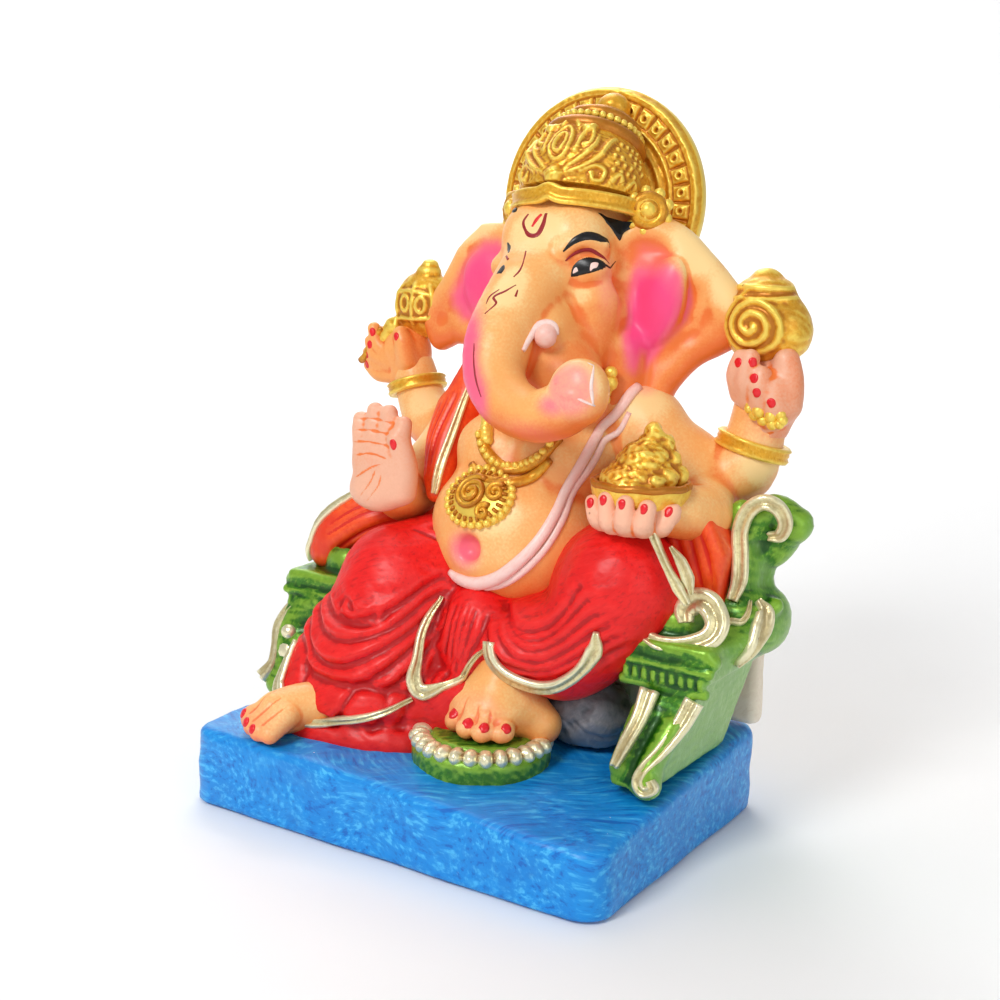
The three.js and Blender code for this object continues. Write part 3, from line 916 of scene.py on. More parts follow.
def makeStool():
    cx, cy = stoolForm["middle"]
    clay = Clay((cx - 25, cy - 25, 16), (cx + 25, cy + 25, 34), 0.5)
    base = float(slabSurface(np.array(cx), np.array(cy))) + stoolForm["lift"]

    def plate(radius, top, edge):
        def distance(x, y, z):
            side = np.sqrt((x - cx) ** 2 + (y - cy) ** 2) - radius + edge
            lift = z - top + edge
            out = np.sqrt(np.maximum(side, 0) ** 2 + np.maximum(lift, 0) ** 2)
            return np.maximum(out + np.minimum(np.maximum(side, lift), 0) - edge, 19 - z)
        return distance
    clay.put((cx - 24, cy - 24, 18), (cx + 24, cy + 24, 32), plate(19.8, base + 4.0, 2.2), 0.2)
    clay.put((cx - 18, cy - 18, 18), (cx + 18, cy + 18, 34), plate(14.6, base + 6.2, 1.6), 1.5)

    def work(verts, normals):
        return verts + normals * (0.16 * wobble(verts, 3.2))[:, None]
    sculpted("stoolDisc", clay, greenPaint, ["footstool_disc"],
             lambda verts, normals: {"plain": 0.15 + 0 * verts[:, 0]}, work)
    ring = Clay((cx - 24, cy - 24, 20), (cx + 24, cy + 24, 36), 0.36)
    for i in range(stoolForm["beads"]):
        turn = 360 * i / stoolForm["beads"]
        a = math.radians(turn)
        out = 17.4 + 0.25 * math.sin(i * 1.7)
        at = (cx + out * math.cos(a), cy + out * math.sin(a), base + 4.4)
        ring.ball(at, (3.3, 2.2 + 0.12 * math.sin(i * 2.3), 2.5), 0.15, turn=(turn, "Z"))

    def ringWork(verts, normals):
        return verts + normals * (0.14 * wobble(verts, 2.5))[:, None]
    sculpted("stoolBeads", ring, paleGold, ["footstool_bead_ring"], None, ringWork)


def makeStone():
    x, y, z = middleOf("cushion_stone")
    clay = Clay((x - 20, y - 16, 17), (x + 18, y + 16, z + 16), 0.5)
    clay.ball((x - 1, y, z), (13.5, 10, 9), 3)
    clay.ball((x + 6, y, z + 1), (7.5, 9, 7.5), 4)
    clay.ball((x - 9, y - 1, z - 3.5), (6, 7, 5), 4)
    clay.ball((x, y + 3, z - 6), (12, 9, 5), 4)

    def work(verts, normals):
        return verts + normals * (0.9 * wobble(verts, 12, 2) + 0.35 * wobble(verts, 4))[:, None]
    sculpted("cushionStone", clay, greyPaint, ["cushion_stone"], None, work)


# The throne: a plain cast seat and back with a scrolled green side at each hand.
def makeThroneCore():
    low, high = boxOf("throne_back")
    clay = Clay(low - 3, high + 3, 0.9)
    clay.slab(low + 0.5, high - 0.5, 0.5, edge=2.5)

    def work(verts, normals):
        return verts + normals * (0.35 * wobble(verts, 22) + 0.1 * wobble(verts, 6))[:, None]
    sculpted("throneBack", clay, creamCast, ["throne_back"], None, work)
    low, high = boxOf("throne_seat")
    seat = Clay(low - 3, high + 3, 0.9)
    seat.slab(low + 0.5, high - 0.5, 0.5, edge=2.5)
    sculpted("throneSeat", seat, creamCast, ["throne_seat"], None, work)


throneMiddle = 4.5
castBack = 49.2  # the figure is cut flat here


def sideSpot(side, points):
    # written for the left side; the right side is its mirror image about throneMiddle
    points = np.array(points, float)
    if side < 0:
        points = points.copy()
        points[..., 0] = 2 * throneMiddle - points[..., 0]
    return points


panelOutline = [(-20, 25), (-15, 40), (-9.5, 52), (-9, 63), (26, 66), (32, 62), (28, 25)]


def makeThroneSide(side):
    name = "left" if side > 0 else "right"
    low, high = ((44, -30, 22), (94, 46, 110)) if side > 0 else ((-90, -30, 22), (-36, 46, 72))
    clay = Clay(low, high, 0.55)

    def spot(*at):
        return tuple(sideSpot(side, [at])[0])
    clay.sheet(panelOutline, 13, lambda y, z: spot(60.5, 0, 0)[0] + side * (z - 25) * 0.26, 2, 2.0,
               across=0)
    clay.limb([(*spot(69, -13, 42), 2.6), (*spot(66, -18, 33), 2.8), (*spot(65.5, -19, 27), 4)], 2.5)
    clay.limb([(*spot(60, -12, 44), 3.5), (*spot(57, -17, 30), 3.5)], 2.5)
    a, b = spot(51, -10, 53.5), spot(77.5, 34, 64)
    clay.slab((min(a[0], b[0]), -10, 53.5), (max(a[0], b[0]), 34, 64), 2.0, edge=2.0)
    clay.limb([(*spot(54, -7, 60.5), 2.4), (*spot(77, -7, 60.0), 2.4)], 1.0)
    clay.limb([(*spot(53, -9.4, 57.8), 1.4), (*spot(77.5, -9.4, 57.4), 1.4)], 0.7)
    clay.limb([(*spot(52, -8.8, 51.8), 1.6), (*spot(76, -8.8, 51.4), 1.6)], 1.2)
    for i in range(9):
        x = 53.2 + i * 2.75
        c = spot(x, -9.8, 54.4)
        clay.slab((c[0] - 1.0, -10.8, 52.8), (c[0] + 1.0, -8, 56.0), 0.7, edge=0.7)
    clay.ball(spot(61, 4, 67), (9, 9, 7), 3)
    if side < 0:
        clay.limb([(-58, -6, 54, 5), (-63.5, -9, 49, 4.5), (-65, -11, 42, 4.5), (-64.5, -13, 34, 4.5),
                   (-67, -15, 28, 4)], 3)
    if side > 0:
        clay.ball((77, 19, 66), (7.0, 11, 9), 4)
        clay.ball((74, 8, 63), (7, 7, 5), 4)
        clay.ball((80, 24, 66), (5.5, 9, 8.5), 4)
        clay.limb([(72, 16, 66, 8), (72.5, 18, 76, 6.5), (73, 20, 86, 5.5), (75, 21, 93, 4.8),
                   (80, 22, 97.5, 4.5),
                   (85.5, 24, 94, 5)], 3)
        clay.limb([(75, 24, 74, 5), (76, 25, 82, 4.5), (79.5, 26, 88, 6), (80.5, 26, 92.5, 6.6)], 3)
        clay.limb([(69.5, 17, 80, 4.0), (69.5, 18, 90, 3.6), (72, 18, 97, 3)], 2)
        clay.limb([(68.5, 14, 76, 2.2), (67.5, 15, 82, 2.0), (68, 16, 88, 1.8), (71, 17, 95, 1.8)], 1.5)
        clay.limb([(71, 14, 74, 2.0), (70.3, 14, 80, 2.0), (70.4, 16, 88, 1.8)], 1.2)
        clay.limb([(79.5, 17, 87, 2.6), (79, 14, 90, 2.8), (80.5, 12, 93, 2.2)], 1.5, cut=True)
        clay.limb([(84, 18, 72, 2), (80, 14, 67, 2)], 1.5)

    def work(verts, normals):
        stripes = 0.12 * wobble(verts * np.array((0.5, 0.5, 1.6)), 4.5)
        return verts + normals * stripes[:, None]

    def marks(verts, normals):
        flank = ease(side * normals[:, 0], 0.55, 0.85) * ease(64 - verts[:, 2], 0, 6)
        return {"plain": np.maximum(flank, ease(normals[:, 0] * side, 0.6, 0.95) * 0.7)}
    taken = ["panel", "capital"] + (["large_scroll"] if side > 0 else [])
    sculpted(name + "ThroneSide", clay, greenPaint, [f"{name}_throne_{t}" for t in taken], marks, work)
    front = (0.15 * side, -1, 0.15)
    if side < 0:
        c = [(-60, -8, 57), (-65.5, -10, 52), (-69, -12, 45.5), (-68.6, -13.6, 39.5), (-68.6, -15.4, 34),
             (-71.6, -17.4, 29.5)]
        laid("rightThroneLegs", [band(c, [1.2, 1.8, 2.1, 1.8, 1.7, 2.6], 1.9, (-0.5, -1, 0.2)),
                                 pearl((-63.5, -13, 38.5), 4.4, 1), pearl((-63.5, -14, 45), 2.6, 2)],
             paleGold, ["right_throne_front_leg"])
        return
    outer = [band(sideSpot(side, [(73.5, -9.6, 49.5), (71.5, -12.5, 43.5), (68.5, -17, 37),
                                  (65.2, -20.4, 32),
                                  (64.2, -21.6, 28.6), (66.0, -22, 26.4), (68.6, -21.6, 27.6),
                                  (67.6, -21.4, 29.6)]),
                  [2.7, 2.5, 1.9, 1.6, 1.7, 1.7, 1.5, 1.1], 1.7, front),
             band(sideSpot(side, [(61.5, -12.0, 50.8), (61.0, -16.2, 44), (58.8, -19.6, 37),
                                  (56.8, -21.4, 31)]),
                  [2.8, 2.2, 1.9, 1.3], 1.6, front)]
    laid(name + "ThroneLegs", outer, paleGold, [name + "_throne_front_leg"])
    curl = [(56.5, -7.5, 64.3), (62, -8, 62.8), (68.5, -7, 63.2), (74.2, -4.5, 65.6), (75.6, -2.5, 69.6),
            (72.8, -1.5, 74), (68.8, -1.5, 74.6), (66.0, -2, 71.6), (66.8, -3, 68.4)]
    laid("smallScroll", [band(curl, [1.7, 2.2, 2.6, 3.0, 3.3, 3.5, 3.5, 3.2, 2.0], 1.9, (0.25, -1, 0.35))],
         paleGold, ["left_throne_small_scroll"])
    leaf = [(83.0, 11, 76.2), (84.5, 11.5, 72), (83.6, 11, 66.5), (80.0, 8.5, 61.5), (74.6, 5.5, 57.8)]
    stem = [(80.6, 9.5, 75.5), (79.2, 8.8, 70), (76.0, 7.2, 65), (71.6, 4.6, 61.5)]
    laid("throneLeaf", [leafOn(clay, leaf, [0.8, 2.6, 3.4, 3.0, 0.8], 1.6),
                        leafOn(clay, stem, [0.5, 0.9, 0.9, 0.6], 1.2)],
         paleGold, ["left_throne_leaf"])
    rise = [(74.4, 9.5, 73.5), (75.4, 11.2, 79), (74.6, 12.6, 86), (73.6, 14, 92), (75.0, 15, 97.4),
            (79.0, 15.4, 100.4),
            (83.0, 16.2, 99.4), (85.2, 17, 95.6), (84.0, 17.2, 91.8), (80.8, 17.2, 91.0)]
    laid("largeScrollBand", [band(rise, [1.6, 2.3, 2.4, 2.3, 2.3, 2.2, 2.2, 2.1, 1.9, 1.3], 1.7,
                                  (0.35, -1, 0.1))],
         paleGold)


# The head with its trunk and ears.
trunkLine = [(9.5, 13, 161, 12.5), (9.0, 1.5, 152, 11.0), (8.5, -9, 141.5, 9.8), (10.5, -15, 132, 8.6),
             (17, -18.5, 125.2, 7.8), (26.5, -20.5, 122.2, 7.2), (35.0, -21, 124.2, 7.4),
             (40.5, -21, 128.5, 7.6)]
leftEarOutline = [(27, 171), (32, 175.5), (39, 174.5), (45, 169.5), (51.5, 161), (52.5, 152), (50, 146),
                  (45, 139.5),
                  (40, 131), (36.5, 126.5), (31.5, 132), (28, 144), (26, 158)]
rightEarOutline = [(-8, 170), (-16, 174), (-25, 173.5), (-32, 168), (-37, 160), (-41, 152), (-40, 145),
                   (-32, 138),
                   (-25, 138), (-16, 142), (-10, 146)]


def leftEarDepth(x, z):
    return 26.0 + 0.32 * (x - 30)


def rightEarDepth(x, z):
    return 29.5 - 0.16 * (x + 12)


def sculptHead():
    clay = Clay((-62, -34, 110), (76, 50, 192), 0.48)
    clay.ball((10, 27, 166), (19, 19, 19), 6)
    for x in (4.2, 17.5):
        clay.ball((x, 14, 169), (9.4, 9, 9.8), 6)
    clay.ball((11, 15, 157), (14, 11.5, 13), 7)
    clay.ball((24, 18, 151), (9, 10, 12.5), 6)
    clay.ball((-2.5, 18, 150), (8, 10, 11), 6)
    clay.ball((18, 15, 138), (12, 11, 10), 6)
    clay.ball((15, 3, 137), (11, 9, 14), 5)
    clay.ball((24, 4, 129), (10, 9, 10), 5)
    clay.limb(trunkLine, 2.5)
    clay.ball((41.6, -22.6, 129.6), (8.4, 6.6, 9.2), 0.9, turn=(20, "Y"))
    # eye sockets and lids, and the cheek's root of the tusk
    clay.ball((24.5, 11.2, 161.2), (5.2, 4.2, 3.8), 2.5)
    clay.ball((-2.2, 10.2, 160.8), (5.2, 4.2, 4.0), 2.5)
    clay.limb([(19, 5.5, 166.0, 1.8), (23.5, 7.6, 168.8, 2.0), (27.5, 12.5, 167.6, 1.8)], 3)
    clay.limb([(17, 4, 147.5, 4.5), (20, -2.0, 143.6, 3.6)], 3)
    # ears, each with a groove under its rim and a raised lobe
    clay.sheet(leftEarOutline, 7, leftEarDepth, 4, 2.6)
    clay.sheet(rightEarOutline, 6, rightEarDepth, 4, 2.6)
    clay.limb([(31.5, 18, 158, 3.2), (34, 20.5, 166.5, 3.4), (40, 22.5, 168, 3.4), (45.8, 24, 162.5, 3.2),
               (48.6, 26.5, 154.5, 2.8), (48.2, 27, 148.5, 2.2)], 3, cut=True)
    clay.limb([(33.6, 19.5, 156, 3.2), (35.2, 18, 147, 3.0), (35.6, 17.6, 138, 2.6)], 3, cut=True)
    clay.ball((41.5, 25.0, 153.0), (5.8, 3.4, 12), 4.5, turn=(14, "Y"))
    clay.limb([(-13, 20.5, 164, 3), (-21, 23.5, 168, 3.4), (-28.5, 26, 163.5, 3.4),
               (-31.5, 27.5, 155.5, 3)], 3, cut=True)
    clay.ball((-22, 28.6, 154.5), (7, 3.2, 9.5), 4.5, turn=(-20, "Y"))
    # rolled plaster webs that tie the ears to the raised hands
    clay.limb([(33, 29, 172.5, 4.2), (41, 31, 170.2, 4.6), (49, 32.5, 163, 4.8), (56, 34, 154.5, 5.2),
               (61.5, 35, 148, 5.6)], 3)
    clay.limb([(60, 35, 145.5, 4.6), (53, 33.5, 141.5, 4.6), (47, 31.5, 137.5, 4.6), (40.5, 28.5, 129, 4.8),
               (38, 27, 121, 5.6)], 4)
    clay.ball((52, 33.5, 148), (7, 3.4, 8), 4)
    clay.limb([(31, 22, 138, 6), (30, 22, 127, 7), (29, 22, 119, 7.5)], 4)
    clay.limb([(-32, 33, 163, 3.2), (-36.5, 33.5, 155.5, 3.6), (-41, 34.5, 149, 4.4),
               (-44, 35.5, 142.5, 5)], 3)
    clay.limb([(-42, 35, 137, 4.2), (-34, 33.5, 139.5, 4), (-24, 31.5, 137.5, 4.4), (-20, 30, 128, 5.6)], 4)
    clay.slab((-90, castBack, 90), (110, 80, 220), 1.0, cut=True, edge=0.1)
    return clay


tipCreases = [[(35.7, -27.3, 131.3), (39.5, -28.8, 129.8), (43.5, -28.8, 129.4), (48.0, -25.7, 127.3)],
              [(46.2, -24.0, 136.8), (46.8, -26.0, 132), (47.6, -26.0, 127.6)],
              [(35.7, -27.3, 131.3), (38.2, -27.4, 134.6), (42.0, -25.8, 137.8), (46.2, -24.0, 136.8)]]


def carveHead(verts, normals):
    for path in tipCreases:
        verts = scored(verts, normals, flowing(path, 4), 0.9, 0.55, 0.4)
    verts = scored(verts, normals, flowing([(20.7, 4.2, 163.3), (24.5, 6.8, 166), (28.4, 12.4, 163.2)], 4),
                   0.8, -0.5)
    verts = scored(verts, normals, flowing([(21, 5.0, 157.4), (25, 7.2, 156.2), (28.5, 11.5, 158.4)], 4),
                   1.2, -0.35)
    return verts + normals * (0.10 * wobble(verts, 11))[:, None]


def near(verts, at, radius, soft=0.6):
    gap = np.linalg.norm((verts - np.array(at, float)) / np.array(radius, float), axis=1)
    return 1 - ease(gap, soft, 1.0)


def sprayed(mask, verts, spots):
    for amount, at, radius, soft in spots:
        mask = np.maximum(mask, amount * near(verts, at, radius, soft))
    return mask


def headMarks(verts, normals):
    x, y, z = verts.T
    # Painted shade on down-facing surfaces, low on the face and in sprayed spots under the trunk and beside the
    # ears; the lighter spots on the forehead, trunk top and ear webs are painted highlights. The same mask
    # carries the idol's airbrushed orange and the coral of the near ear.
    down = ease(-normals[:, 2], -0.35, 0.8)
    tan = 0.24 + 0.45 * down + 0.34 * ease(162 - z, 0, 26) * ease(y, -12, 10) + 0.1 * ease(140 - z, 0, 16)
    for at, radius in (((10, 4, 171), (12, 12, 9)), ((11, -8, 155), (6, 11, 10)), ((24, 6, 153), (6, 6, 4)),
                       ((-28, 26, 172), (14, 10, 8)), ((46, 30, 166), (12, 10, 12)),
                       ((58, 32, 155), (10, 9, 10))):
        tan = tan - 0.55 * near(verts, at, radius, 0.1)
    tan = sprayed(tan, verts, ((0.8, (23, 3, 133), (17, 15, 15), 0.3), (0.55, (12, 4, 160), (7, 9, 9), 0.1),
                               (0.55, (21, 9, 165), (10, 8, 5), 0.2), (0.5, (30, 14, 148), (9, 14, 22),
                                       0.0),
                               (0.6, (20, -20, 119), (24, 12, 8), 0.3), (0.5, (58, 32, 137), (24, 16, 12),
                                       0.0)))
    tan = tan - 0.5 * near(verts, (42, -28, 131), (11, 8, 11), 0.4)
    tan = np.maximum(tan, 0.5 * near(verts, (-34, 30, 142), (12, 14, 10), 0.3))
    # Painted deep shade in the hollow between the trunk and the cheek.
    deep = 0.5 * near(verts, (22, -7, 131), (9, 10, 8.5), 0.3)
    deep = np.maximum(deep, 0.42 * near(verts, (24, -1, 134), (11, 9, 9), 0.2))
    forward = ease(-normals[:, 1], 0.0, 0.5)
    inLeft = ease(-insideOutline(np.array(leftEarOutline, float), x, z), 0.4, 7.0)
    inLeft = inLeft * forward * ease(y, 12, 18) * ease(51.5 - x - 0.10 * np.abs(z - 152), 0, 5)
    inLeft = inLeft * ease(x - 27.5, 0, 7) * ease(174 - z, 0, 8)
    inRight = ease(-insideOutline(np.array(rightEarOutline, float), x, z), 1.0, 11.0) * forward * ease(y,
            18, 25)
    coral = near(verts, (37, 22, 167), (16, 16, 9), 0.3)
    blush = np.maximum(inLeft * (1.15 - 0.7 * coral) * (0.74 + 0.5 * near(verts, (38, 24, 147),
            (11, 14, 16), 0.0)),
                       inRight * 0.95)
    edge = ease(-0.85 * normals[:, 0] - 0.53 * normals[:, 1], 0.1, 0.95) * ease(156 - z, 0, 14) * ease(z,
            114, 126)
    blush = np.maximum(blush, 0.85 * edge * ease(-2 - y, 0, 8) * ease(20 - x, 0, 8))
    blush = sprayed(blush, verts, ((0.34, (30, 13, 158), (8, 10, 20), 0.0),
                                   (0.46, (42, -28, 131), (11, 9, 11), 0.4),
                                   (0.52, (38, -28, 133), (6, 7, 7), 0.0),
                                   (0.62, (37, -27, 126.5), (9, 8, 6), 0.0),
                                   (0.35, (30, -22, 120), (14, 10, 7), 0.2)))
    tan = tan + 0.6 * inLeft * coral
    return {"tan": tan, "deep": deep, "blush": blush}


# Belly, chest, shoulders and the four arms.
def sculptTorso():
    clay = Clay((-60, -22, 54), (84, 52, 140), 0.55)
    clay.ball((5, 11, 85), (27.5, 24, 21.5), 6)
    clay.ball((6, 10, 77), (22, 22, 15), 8)
    clay.ball((8, 18, 70), (26, 21, 12), 8)
    clay.ball((10, 23, 106), (26, 18, 18), 8)
    clay.limb([(-19, 27, 116, 9), (10, 26, 122, 12), (38, 26, 118, 10)], 7)
    for x in (-3, 21):
        clay.ball((x, 11, 107), (13.5, 11.5, 11), 6)
    clay.ball((14, 16, 126), (15, 14, 12), 6)
    clay.limb([(36, 25, 118, 9.6), (47, 27, 110, 9.6), (58, 30, 103.8, 9.8), (65.5, 32, 106.5, 9.6),
               (68, 33.5, 115, 8.4), (69.5, 34, 124, 7.8)], 4)
    clay.limb([(-20, 27, 116, 9), (-32, 28, 109, 8.8), (-42, 31, 110, 8.8), (-49, 34, 117, 7.8),
               (-53, 35, 126, 7.0)], 4)
    clay.limb([(-25, 21, 110, 8.4), (-32, 15, 97, 8.6), (-33, 6, 90.5, 8.2), (-32, -1, 92, 7.6),
               (-32, -4, 97, 7)], 4)
    clay.limb([(42, 22, 112, 9.4), (55, 21.5, 99, 9.2), (62, 15, 95, 8.8), (61, 6, 96.5, 7.6),
               (58, 0, 97.5, 7)], 4)
    clay.ball((2.3, -12.6, 81), (3.6, 3.2, 3.4), 3.5, cut=True)
    clay.slab((-90, castBack, 40), (110, 80, 200), 1.0, cut=True, edge=0.1)
    return clay


def carveTorso(verts, normals):
    return verts + normals * (0.12 * wobble(verts, 13, 1))[:, None]


def torsoMarks(verts, normals):
    x, z = verts[:, 0], verts[:, 2]
    # Painted shade on down-facing surfaces, lower down towards the figure's left, under the chin and between the
    # body and the arms; the lighter spots on the belly, shoulders and arms are painted highlights. The same mask
    # carries the idol's airbrushed orange.
    down = ease(-normals[:, 2], -0.1, 0.9)
    tan = 0.22 + 0.5 * down + 0.2 * ease(100 - z, 0, 30) * ease(x, 8, 30)
    for at, radius in (((8, -12, 92), (14, 8, 9)), ((38, 18, 124), (14, 10, 8)),
                       ((-30, 10, 108), (9, 12, 10)),
                       ((72, 28, 108), (9, 9, 12)), ((-42, 26, 116), (8, 8, 8))):
        tan = tan - 0.4 * near(verts, at, radius, 0.1)
    tan = sprayed(tan, verts, ((0.62, (14, -2, 116), (26, 14, 9), 0.3), (0.55, (-22, 8, 98), (12, 16, 20),
            0.3),
                               (0.55, (38, 10, 96), (12, 18, 20), 0.3), (0.5, (62, 30, 98), (16, 16, 10),
                                       0.3),
                               (0.5, (12, -9, 68), (20, 12, 7), 0.2)))
    blush = 0.66 * near(verts, (1.0, -12, 80), (11, 9, 10.5), 0.0)
    blush = sprayed(blush, verts, ((0.3, (38, 22, 128), (8, 9, 7), 0.2), (0.22, (72, 30, 118), (10, 12, 14),
            0.2)))
    # The second mask paints deep shade under the chin.
    return {"tan": tan, "deep": 0.25 * near(verts, (10, 6, 118), (16, 14, 6), 0.2), "blush": blush}


# The red cloth over both legs, with pleats hanging between them.
foldLook = {"depth": 1.35, "width": 1.6}


def sculptDrape():
    clay = Clay((-62, -46, 17), (70, 50, 100), 0.5)
    clay.limb([(-4, 24, 70, 17), (-15, 8, 69, 18), (-25, -7, 65, 19)], 5)
    clay.ball((-27, -13, 45), (23, 22, 21), 9)
    clay.ball((-28, -17, 34), (24, 21, 10), 5)
    clay.limb([(-40, -14, 50, 12), (-45, -20, 40, 10), (-48, -25, 32, 8)], 4)
    clay.limb([(24, 24, 70, 18), (36, 10, 73, 17.5), (46, -1, 76, 16.5)], 5)
    clay.limb([(46, -1, 74, 16), (40, -5, 63, 15.5), (33, -6, 56, 14.5)], 6)
    clay.ball((27, -6, 55), (17, 16.5, 11.5), 6)
    clay.ball((21, -7, 57), (12, 14, 11), 6)
    clay.ball((4, -6, 54), (12, 14, 17), 5)
    clay.slab((-12, -24, 17), (14, 2, 44), 5, edge=4)
    clay.limb([(-49, -26, 27, 6), (-42, -32, 25, 6), (-30, -34, 24, 5), (-12, -29, 24, 5), (0, -18, 24, 5)],
              4)
    clay.slab((-90, 47, 0), (110, 80, 200), 1.0, cut=True, edge=0.1)
    return clay


def foldArc(ends, level, sag, depth, count=12):
    # a fold that sags between the two sides of a leg; its right end climbs towards the lap
    share = np.linspace(0, 1, count)
    x = ends[0] + (ends[1] - ends[0]) * share
    bow = depth + 16 * (2 * share - 1) ** 2
    z = level + sag * (2.2 * (share - 0.42) ** 2 * 2 - 0.5)
    return list(zip(x, bow, z))


def carveDrape(clay):
    rightFolds = [foldArc((-48 - 0.4 * i, -3 - 0.5 * i), 63 - 5.6 * i, 11 + 1.2 * i, -30) for i in range(7)]
    leftFolds = [foldArc((13 + i, 44 + 1.4 * i), 70 - 3.6 * i, 7 + 1.0 * i, -26) for i in range(6)]
    swirl = [[(-24 + r * math.cos(t), -27, 62 + 0.8 * r * math.sin(t)) for t in np.linspace(2.6, 6.6, 10)]
             for r in (4, 8)]
    pleats = [[(-3 + 2.9 * i, -19, 69 - 0.4 * i), (-3.5 + 2.7 * i, -22, 56), (-4.2 + 2.2 * i, -25, 42 + i)]
              for i in range(6)]
    upper = [[(-20 + 3 * i, -10 + 4.5 * i, 84 - i), (-10 + 2 * i, -6 + 4 * i, 78)] for i in range(4)]

    def work(verts, normals):
        for fold in rightFolds + leftFolds + swirl:
            path = clay.onto(flowing(fold, 3), 14)
            verts = scored(verts, normals, path, foldLook["width"], -foldLook["depth"], 0.35)
            verts = scored(verts, normals, clay.onto(path + (0, 0, 2.8), 6), 1.4, 0.6, 0.5)
        for path in pleats + upper:
            verts = scored(verts, normals, clay.onto(flowing(path, 3), 14), 0.9, -0.8, 0.35)
        return verts + normals * (0.20 * wobble(verts, 8) + 0.07 * wobble(verts * (1, 1, 2.2), 3))[:, None]
    return work


# Hands and feet are modelled finger by finger.
def makePalm():
    clay = Clay((-50, -22, 84), (-14, 6, 126), 0.36)
    clay.ball((-31.5, -9.5, 100), (10.5, 4.6, 11), 3)
    for x, top, lean in ((-38.6, 116.5, -0.8), (-34.2, 119.6, -0.2), (-29.6, 119.4, 0.3),
                         (-25.2, 116.4, 0.9)):
        clay.limb([(x, -9.5, 102, 2.9), (x + lean, -10.0, 110, 2.75), (x + 1.4 * lean, -9.6, top - 2.4,
                2.5)], 2.4)
    clay.limb([(-24.5, -8.5, 94, 4.2), (-22.6, -9.4, 100.5, 3.4), (-23.2, -10.6, 106.5, 3.0),
               (-25, -11.6, 110, 2.5)], 1.4)
    clay.ball((-33.5, -9.5, 93), (9.5, 5.2, 6), 3)

    def work(verts, normals):
        lines = [[(-40, -13, 103.5), (-33, -14.5, 105), (-27, -14, 104)],
                 [(-38.5, -13, 97), (-33, -14.5, 100.5), (-28, -14, 102.5)],
                 [(-36.6, -13, 91), (-32.5, -14.5, 96), (-30.5, -14.5, 101)],
                 [(-34, -13, 90.5), (-29.8, -14, 95), (-28.6, -14.4, 99)]]
        for z in (107.5, 111, 114.5):
            lines.append([(-41, -12.5, z), (-34, -13.5, z + 0.8), (-26, -12.5, z)])
        for path in lines:
            verts = scored(verts, normals, clay.onto(flowing(path, 4)), 0.42, -0.3, 0.3)
        return verts + normals * (0.06 * wobble(verts, 4))[:, None]
    # Palm: painted shade on the faces turned to the back, and a lighter middle of the palm as a painted
    # highlight.
    sculpted("rightPalm", clay, palmPaint, ["right_front_palm", "right_front_arm"],
             lambda v, n: {"tan": 0.30 - 0.15 * near(v, (-33, -12, 96), (8, 8, 9),
                     0.1) + 0.3 * ease(n[:, 1], -0.4, 0.6),
                           "deep": 0.0, "blush": 0.10 * near(v, (-31, -12, 105), (9, 8, 10), 0.1)}, work)
    laid("palmNail", [nailDrop(clay, (-24.6, -14, 108.4), (1.5, 1.8), 10)], nailPaint)


def makeBowlHand():
    clay = Clay((30, -26, 84), (72, 14, 112), 0.36)
    clay.ball((51.5, -5, 97.2), (12.5, 9, 5.2), 2.5)
    tips = [(41.8, -12.5, 100.8), (47.3, -15.6, 102.6), (53.4, -16.6, 102.4), (59.0, -14.8, 101.6),
            (63.2, -8.4, 100.6)]
    for x, y, z in tips:
        cx, cy = x * 0.62 + 51.5 * 0.38, y * 0.45 - 4 * 0.55
        clay.limb([(cx, cy, 94.2, 3.0), ((x + cx) / 2, (y + cy) / 2 - 1.8, 95.2, 2.9),
                   (x, y + 0.6, z - 1.4, 2.4)], 0.9)
    clay.ball((50, -3, 93.4), (9, 7, 3.4), 3)
    clay.slab((38, -12, 101.0), (64, 12, 116), 0.8, cut=True, edge=1)

    def work(verts, normals):
        return verts + normals * (0.06 * wobble(verts, 4))[:, None]
    # Painted shade low on the hand and towards the figure's right.
    sculpted("bowlHand", clay, palmPaint, ["left_front_palm", "left_front_arm"],
             lambda v, n: {"tan": 0.5 * ease(97.5 - v[:, 2], 0, 6) + 0.3 * ease(46 - v[:, 0], 0, 8),
                           "deep": 0.0,
                           "blush": 0.05}, work)
    laid("bowlHandNails", [nailDrop(clay, (x, y - 2.2, z - 1.0), (1.35, 1.7), 8) for x, y, z in tips],
         nailPaint)


